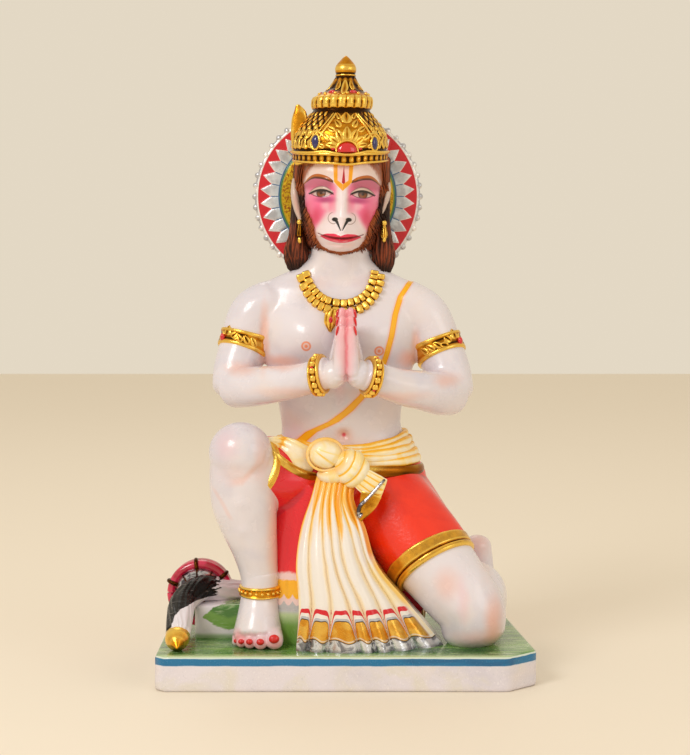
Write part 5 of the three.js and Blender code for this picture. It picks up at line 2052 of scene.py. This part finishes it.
def giltPaint(name, light="goldLight", mid="gold", dark="goldDark", rough=0.16, worn=0.5, shadedWhere=None):
    # Gold leaf with painted light: the recesses are darkened as painted shade, more so where shadedWhere adds
    # to them, and the raised parts are lightened as painted highlight.
    paint = Paint(name)
    hollow = paint.noted("hollow")
    if shadedWhere:
        hollow = hollow + shadedWhere(*paint.axes())
    cloud = paint.noise(0.12, 4)
    base = paint.mix(cloud.rise(0.35, 0.7) * worn, tint[mid], tint["goldDeep"])
    # The light colour on the raised parts is painted highlight; goldDeep and the dark colour in the recesses
    # are painted shade.
    colour = paint.coats(base, [
        (hollow.fall(-0.6, -0.12) * 0.8, tint[light]), (hollow.rise(0.0, 0.24) * 0.6, tint["goldDeep"]),
        (hollow.rise(0.06, 0.4), tint[dark]),
    ])
    grain = paint.noise(0.8, 3)
    return paint.gloss(
        colour, roughness=paint.noise(0.25, 3) * 0.16 + rough, metallic=0.94, bump=grain, depth=0.16
    )


# Where the painted shade on the crown's gilding is deepened: the dome, the cone and the tip above it.
def crownShadeAreas(x, y, z):
    onDome = z.within(508, 549, 1.5)
    onCone = z.within(568, 585, 1.5)
    return onDome * 0.26 + onCone * 0.16 + z.rise(582, 588) * 0.1


# Where the painted shade on the rings' gilding is deepened: the armlets' outer parts, the bracelets and the
# anklet.
def ringShadeAreas(x, y, z):
    side = (x + 5).size()
    onArmlet = side.rise(92, 98) * z.rise(284, 290)
    onBracelet = side.fall(56, 62) * z.rise(240, 246)
    return onArmlet * 0.5 + onBracelet * 0.34 + z.fall(80, 90) * 0.2


# Where the painted shade on the waistband is deepened: below its top edge, which is left lighter as if lit
# from above, and towards the viewer's right.
def waistShadeAreas(x, y, z):
    return (z - 178).fall(-4, 1) * 0.4 + x.rise(10, 60) * 0.5


def redClothPaint():
    paint = Paint("red cloth paint")
    x, y, z = paint.axes()
    hollow = paint.noted("hollow")
    cloud = paint.noise(0.02, 4, 0.55, 0.8)
    base = paint.mix(cloud.rise(0.35, 0.62), tint["vermilion"], tint["flame"])
    nearHem = ((x - 108) * 0.62 + (z - 92) * -0.78).rise(-14, 12) * x.rise(30, 40)
    behind = (x + 12).fall(-3, 3) * y.fall(-6, 0)
    low = z + (paint.noise(0.16, 2) - 0.5) * 7
    hem = z.fall(23, 24) * y.rise(2, 8)
    scallop = ((x * (math.pi / 9)).sine()).size() * 5
    colour = paint.coats(base, [
        (nearHem * 0.8, tint["crimson"]),
        ((z - 150).rise(0, 45) * cloud.rise(0.45, 0.7) * 0.5, tint["crimson"]),
        # deepRed in the folds, where the cloth lies hollow, is painted shade.
        (hollow.rise(0.1, 0.8) * 0.8, tint["deepRed"]), (behind * 0.55, tint["crimson"]),
        (behind * low.fall(72, 76), tint["pinkPale"]), (behind * low.fall(65, 68), tint["saffron"]),
        # goldDeep in the hollows of the gold band is painted shade.
        (behind * low.fall(65, 68) * hollow.rise(0.1, 0.6) * 0.7, tint["goldDeep"]),
        (behind * (z + scallop).fall(51, 53), tint["pinkPale"]),
        (behind * (z + scallop).fall(45, 46), tint["silver"]), (behind * z.fall(30, 36), tint["greenPale"]),
        (behind * z.fall(18, 34), tint["green"]), (hem, tint["gold"]),
        (z.within(24, 26, 0.4) * y.rise(2, 8), tint["goldDark"]),
        (hem * (z + scallop).fall(9, 10), tint["goldDark"]),
    ])
    metallic = (behind * z.within(36, 50, 2) * 0.6 + hem * 0.9).least(1.0)
    return paint.gloss(
        colour, roughness=0.22 + cloud * 0.1, metallic=metallic, coat=0.3, bump=paint.noise(0.3, 3),
        depth=0.3
    )


def sashPaint():
    paint = Paint("sash paint")
    hollow = paint.noted("hollow")
    cloud = paint.noise(0.05, 4, 0.55, 0.8)
    base = paint.mix(cloud.rise(0.38, 0.64) * 0.7, tint["cream"], tint["saffronPale"])
    x, y, z = paint.axes()
    seam = paint.noted("seam") + (cloud - 0.5) * 0.8
    # Yellow round the rim of the knot's bulb is painted shade.
    knotRimShade = oval(x + 20, 19, z - 197, 16.5).near(1.05, 0.34) * y.fall(-54, -48)
    # Yellow in the hollows is partly the cloth's painted lines and partly painted shade, deepest in the
    # deepest hollows; the ridges stay cream as painted highlight.
    colour = paint.coats(base, [
        (hollow.rise(-0.3, 0.1) * 0.8, tint["saffronPale"]), (knotRimShade * 0.6, tint["saffron"]),
        (hollow.rise(0.0, 0.4) * 0.9, tint["saffron"]), (seam.rise(0.2, 0.5) * 0.6, tint["saffronPale"]),
        (seam.rise(0.42, 0.72) * 0.95, tint["saffron"]), (hollow.rise(0.5, 1.0) * 0.6, tint["saffronDeep"]),
    ])
    return paint.gloss(colour, roughness=0.2 + cloud * 0.12, coat=0.35, bump=paint.noise(0.3, 3), depth=0.2)


def fallPaint():
    # The long pleated end: cream, with gold in the grooves, a scalloped red border and a gilded hem; painted
    # shade darkens the bottom of the deepest grooves and the foot of the hem.
    paint = Paint("pleated sash paint")
    x, y, z = paint.axes()
    share, height, groove, flute = (paint.noted(name) for name in ("share", "height", "groove", "flute"))
    hollow = paint.noted("hollow")
    cloud = paint.noise(0.05, 4, 0.55, 0.8)
    front = y.fall(-44, -40)
    across = (flute * 2 - 1).size()
    arch = 13 + (1 - across**7) * 28 + (paint.noise(0.06, 2) - 0.5) * 5
    below = arch - height
    inside = share.fall(0.9, 0.94)
    bordered = front * share.fall(0.94, 0.97)
    base = paint.mix(height.rise(118, 168), tint["clothWhite"], tint["cream"])
    top = height.rise(104, 136)
    wash = groove.root() + (paint.noise(0.035, 3) - 0.5) * 0.9

    def patch(at, width, tip):
        # A yellow patch that narrows down to its tip.
        away = (share + (cloud - 0.5) * 0.05 - at).size()
        return ((height - tip) * (width / (150 - tip)) - away).rise(-0.012, 0.02) * front

    layers = [
        (wash.rise(0.3, 0.7) * (top * 0.6 + 0.3), tint["saffronPale"]),
        (wash.rise(0.55, 0.9) * (top * 0.5 + 0.12), tint["saffron"]),
        *[
            (patch(at, width, tip) * strong, tint[colour])
            for at, width, tip, strong, colour in fallEnd["patches"]
        ],
        # goldDeep at the bottom of the deepest grooves is painted shade.
        (groove.rise(0.75, 0.98) * (1 - top) * 0.12, tint["goldDeep"]),
        (share.fall(0.0, 0.03) * height.rise(50, 70) * 0.9, tint["saffron"]),
        (share.rise(0.925, 0.955) * height.rise(84, 100) * 0.95, tint["saffronDeep"]),
        (share.rise(0.94, 0.97) * height.within(44, 90, 8) * 0.85, tint["saffron"]),
        (share.rise(0.82, 0.9) * height.within(46, 84, 10) * 0.5, tint["saffronPale"]),
        (below.rise(-7, 0) * bordered * 0.25, tint["pinkPale"]),
        (below.rise(-2.4, -1.8) * bordered, tint["borderRed"]),
        (below.rise(2.2, 2.8) * bordered, tint["clothWhite"]),
        (below.rise(6.0, 6.4) * bordered, tint["silver"]),
        (below.rise(8.4, 8.7) * bordered, tint["goldDark"]),
        (below.rise(9.3, 9.7) * bordered, tint["gold"]),
        (below.rise(9.5, 10) * bordered * cloud.rise(0.4, 0.6) * 0.5, tint["goldLight"]),
    ]
    hemLine = (flute * (2 * math.pi)).sine() * 2.0 + 11
    under = (hemLine - height).rise(-0.4, 0.4) * front
    ripple = paint.noise(0.09, 2, 0.5, 1.0)
    layers += [
        (under, tint["silverPale"]), (under * ripple.rise(0.5, 0.64) * 0.75, tint["silverDark"]),
        (under * share.fall(0.2, 0.4) * ripple.fall(0.36, 0.5) * 0.8, tint["goldDeep"]),
        # The hem darkens along its foot, at the ground: painted shade.
        (under * (height - 1).fall(0, 3) * 0.5, tint["silverDark"]),
        ((hemLine - height).near(0, 0.9) * front, tint["goldDark"]),
        ((hemLine - height + 1.8).near(0, 1.2) * front * 0.8, tint["clothWhite"]),
    ]
    metallic = (bordered * below.rise(9, 10) * 0.8 + under * 0.7).least(0.92)
    return paint.gloss(
        paint.coats(base, layers), roughness=0.2 + cloud * 0.1, metallic=metallic, coat=0.3,
        bump=paint.noise(0.3, 3), depth=0.25
    )


def hairPaint():
    paint = Paint("hair paint")
    p, y, q = headAxes(paint)
    hollow = paint.noted("hollow")
    edge = q.follow(head["faceEdge"])
    strands = paint.noise(1.0, 4, 0.6, 0.3, paint.stretched((0.55, 0.55, 0.05)))
    temple = q.rise(-4, 4) * y.fall(6, 14)
    lit = q.within(-70, -30, 8) * 0.85 + temple
    base = paint.mix(strands.rise(0.36, 0.6) * lit.least(1.0), tint["hair"], tint["hairLight"])
    base = paint.mix(temple * strands.rise(0.3, 0.5) * 0.6, base, tint["furWarm"])
    near = (p.size() - edge).fall(2, 8) * y.fall(-20, -12)
    # hairDark in the hollows between the strands and locks is painted shade.
    colour = paint.coats(base, [
        (near * strands.rise(0.2, 0.45), tint["furWarm"]), (hollow.rise(0.1, 0.7) * 0.8, tint["hairDark"]),
    ])
    return paint.gloss(colour, roughness=0.42, bump=strands, depth=0.5, shine=0.25)


def furPaint():
    # The tail: white, with a black brush of hair over its outer side.
    paint = Paint("tail paint")
    x, y, z = paint.axes()
    strands = paint.noise(1.0, 4, 0.6, 0.2, paint.stretched((0.05, 0.16, 0.42), (0, 0.25, 0)))
    edge = z.follow(
        [(10, -180), (25, -176.5), (33, -174), (38, -169), (41, -158), (43, -137), (60, -133)]
    ) + (strands - 0.5) * 34 * z.rise(40, 46)
    black = (edge - x + (paint.noise(0.3, 2) - 0.5) * 3).rise(-0.6, 0.6)
    fur = black * y.fall(8, 14)
    base = mottle(paint)
    sheen = paint.noise(1.0, 3, 0.6, 0.2, paint.stretched((0.06, 0.3, 0.3), (0, 0.4, 0)))
    colour = paint.coats(base, [(fur, tint["black"]), (fur * sheen.rise(0.56, 0.72) * 0.5, tint["furSheen"])])
    return paint.gloss(
        colour, roughness=0.2, coat=0.3 - fur * 0.25, bump=strands * fur, depth=0.6, shine=0.25
    )


def haloPaint():
    paint = Paint("halo paint")
    x, y, z = paint.axes()
    x0, z0 = halo["centre"]
    over, up = x - float(x0), z - float(z0)
    r = (over**2 + up**2).root()
    count = halo["petals"] / (2 * math.pi)
    phase = ((up.turnFrom(over) * count + 100).fraction() - 0.5).size() * 2
    edge = (1 - phase) * (halo["petalTip"] - halo["petalFoot"]) + halo["petalFoot"]
    cloud = paint.noise(0.09, 4)
    brush = paint.noise(0.5, 3)
    base = paint.mix(cloud.rise(0.36, 0.66), tint["silverPale"], tint["silver"])
    base = paint.mix((r + cloud * 12).fall(66, 78) * 0.35, base, tint["bluePale"])
    front = y.fall(48, 50)
    inside = (edge - r).rise(-0.3, 0.3)
    layers = [
        ((1 - inside) * front, tint["borderRed"]), ((edge - r + 0.2).near(0, 0.9) * front, tint["white"]),
        (inside * phase.rise(0.9, 0.96) * r.rise(62, 64) * front, tint["bluePaint"]),
        (r.rise(82.6, 83) * front, tint["borderRed"]), (r.rise(84.4, 84.9), tint["white"]),
        (r.rise(85.6, 86.6) * cloud.rise(0.4, 0.6), tint["silver"]),
        (r.fall(62.6, 63.4) * front, tint["bluePaint"]), (r.fall(61.2, 62.2) * front, tint["greenDark"]),
        (r.fall(58.8, 60.4) * front, tint["leafGold"]),
        (r.fall(58, 60) * brush.rise(0.45, 0.62) * front, tint["goldDeep"]),
        (y.rise(55.4, 56.4), tint["marble"]),
    ]
    metallic = (
        inside * r.rise(63, 64) * front * 0.55 + r.fall(58.8, 60.4) * front * 0.75
        + r.rise(85.6, 86.6) * 0.7
    ).least(0.9)
    return paint.gloss(
        paint.coats(base, layers), roughness=0.24 + cloud * 0.1, metallic=metallic, coat=0.2, bump=brush,
        depth=0.35
    )


def enamelPaint():
    paint = Paint("crimson enamel")
    cloud = paint.noise(0.05, 3)
    # The rose clouds over the crimson are painted highlights.
    colour = paint.mix(cloud.rise(0.4, 0.65), tint["crimsonDark"], tint["enamelHighlight"])
    return paint.gloss(colour, roughness=0.08, coat=0.6)


def domePaint():
    paint = Paint("silvered dome")
    cloud = paint.noise(0.08, 4, 0.6, 0.8)
    colour = paint.coats(
        tint["silver"],
        [(cloud.rise(0.5, 0.62), tint["silverDark"]), (cloud.fall(0.32, 0.42) * 0.7, tint["copper"])]
    )
    return paint.gloss(colour, roughness=0.16, metallic=0.9)


def groundPaint():
    # Painted grass over the plinth's top, a blue line round its edge and bare stone below.
    paint = Paint("plinth paint")
    x, y, z = paint.axes()
    wobble = (paint.noise(0.05, 3) - 0.5) * 1.6
    strokes = paint.noise(1.0, 4, 0.6, 0.5, paint.stretched((0.012, 0.05, 0.05)))
    fine = paint.noise(1.0, 4, 0.65, 0.6, paint.stretched((0.05, 0.16, 0.1)))
    grass = paint.mix(strokes.rise(0.38, 0.62), tint["green"], tint["greenDark"])
    grass = paint.mix(fine.rise(0.5, 0.68) * 0.7, grass, tint["greenPale"])
    grass = paint.mix(strokes.fall(0.28, 0.42) * 0.6, grass, tint["olive"])
    edge = plinth["depth"] / 2000 / unit
    grass = paint.mix((y + edge + strokes * 10 - 5).fall(4, 16) * 0.85, grass, tint["greenPale"])
    shade = paint.noise(0.03, 3)
    hemShade = ((y + 84).size().fall(4, 16)) * x.within(-40, 150, 14)
    grass = paint.mix(hemShade * shade.rise(0.25, 0.5), grass, tint["greenDeep"])
    rim = z + wobble
    stone = paint.mix(
        paint.noise(0.022, 4, 0.6, 0.8).rise(0.45, 0.75) * 0.7, mottle(paint), tint["stoneWarm"]
    )
    speck = paint.noise(0.5, 2)
    stone = paint.mix(speck.rise(0.66, 0.74) * 0.5, stone, tint["white"])
    stone = paint.mix(speck.fall(0.26, 0.34) * 0.35, stone, tint["stoneGrey"])
    colour = paint.coats(stone, [
        (rim.rise(-10.4, -9.6) * 0.35, tint["bluePale"]), (rim.rise(-9.6, -9.0), tint["blue"]),
        (rim.rise(-9.4, -8.8) * strokes.rise(0.5, 0.7) * 0.6, tint["blueDeep"]),
        (rim.rise(-2.4, -1.9), tint["paleEdge"]), (z.rise(-0.9, -0.5), grass),
    ])
    return paint.gloss(colour, roughness=0.2 + speck * 0.12, coat=0.3, bump=paint.noise(0.14, 4), depth=0.5)


def rockPaint():
    paint = Paint("rock paint")
    x, y, z = paint.axes()
    strokes = paint.noise(1.0, 4, 0.6, 0.5, paint.stretched((0.04, 0.05, 0.14), (0, -0.2, 0)))
    leafTop = x.follow([(-150, 22), (-138, 33), (-118, 36), (-104, 40)])
    leafLow = x.follow([(-150, 21), (-136, 14), (-122, 9), (-104, 14)])
    ragged = (strokes - 0.5) * 9
    painted = (
        (leafTop + ragged - z).rise(-0.8, 0.8) * (z - leafLow + ragged).rise(-0.8, 0.8) * x.rise(-150, -148)
    )
    colour = paint.coats(mottle(paint), [
        (painted, tint["green"]), (painted * (z - leafLow - 12).rise(-2, 3) * 0.8, tint["greenDark"]),
        (painted * strokes.rise(0.5, 0.66) * 0.6, tint["greenPale"]), (z.fall(2, 7) * 0.7, tint["green"]),
    ])
    return paint.gloss(colour, roughness=0.22, coat=0.3, bump=paint.noise(0.2, 3), depth=0.3)


def plainPaint(name, colour, **settings):
    paint = Paint(name)
    return paint.gloss(tint[colour], **settings)


print("mixing paints")
bodySkin, handSkin = skinPaint("chest and arms", "chest", withThread=True), skinPaint("hands", "hands")
raisedSkin, footSkin, kneelingSkin = (
    skinPaint("raised leg", "raisedLeg"), skinPaint("foot", "foot"),
    skinPaint("kneeling leg", "kneelingLeg")
)
facial, hairy, furry = facePaint(), hairPaint(), furPaint()
gilding, hemGilding = giltPaint("gilding"), giltPaint("gilded hems", worn=0.8, rough=0.12)
crownGilding, ringGilding = (
    giltPaint("gilded crown", shadedWhere=crownShadeAreas), giltPaint("gilded rings", shadedWhere=ringShadeAreas)
)
darkGilding = giltPaint("dark gilding", light="goldDeep", mid="goldDark")
waistGilding = giltPaint("gilded waistband", mid="goldDeep", worn=0.9, rough=0.12, shadedWhere=waistShadeAreas)
redCloth, wrapped, pleated = redClothPaint(), sashPaint(), fallPaint()
glory, enamel, silvered = haloPaint(), enamelPaint(), domePaint()
ground, rock = groundPaint(), rockPaint()
nailRed = plainPaint("nail red", "nailRed", roughness=0.12, coat=0.5)
redStone = plainPaint("red stones", "gemRed", roughness=0.06, coat=1.0)
blueStone = plainPaint("blue stones", "gemBlue", roughness=0.06, coat=1.0)

chest = bareBody(bodySkin)
joinedHands(handSkin, nailRed)
raisedLeg(raisedSkin, footSkin, nailRed)
kneelingLeg(kneelingSkin)
print("body carved")
bareHead(facial)
hairAndFur(hairy)
print("head carved")
gildedCrown(crownGilding, redStone, blueStone)
gloryDisc(glory)
print("crown and halo carved")
lowerCloth = loincloth(redCloth, hemGilding)
wrappedSash(wrapped, waistGilding, lowerCloth)
pleatedFall(pleated)
shortFall(wrapped, hemGilding, silvered)
print("cloth carved")
curledTail(furry, gilding)
maceHead(enamel, silvered, darkGilding, rock)
plinthBlock(ground)
print("tail, mace and plinth carved")
necklace(gilding, darkGilding, redStone, chest)
armRings(ringGilding, redStone)
earrings(gilding)
print("ornaments carved")

for piece in pieces:
    triangles = sum(len(face.vertices) - 2 for face in piece.data.polygons)
    print("triangles", piece.name, triangles)
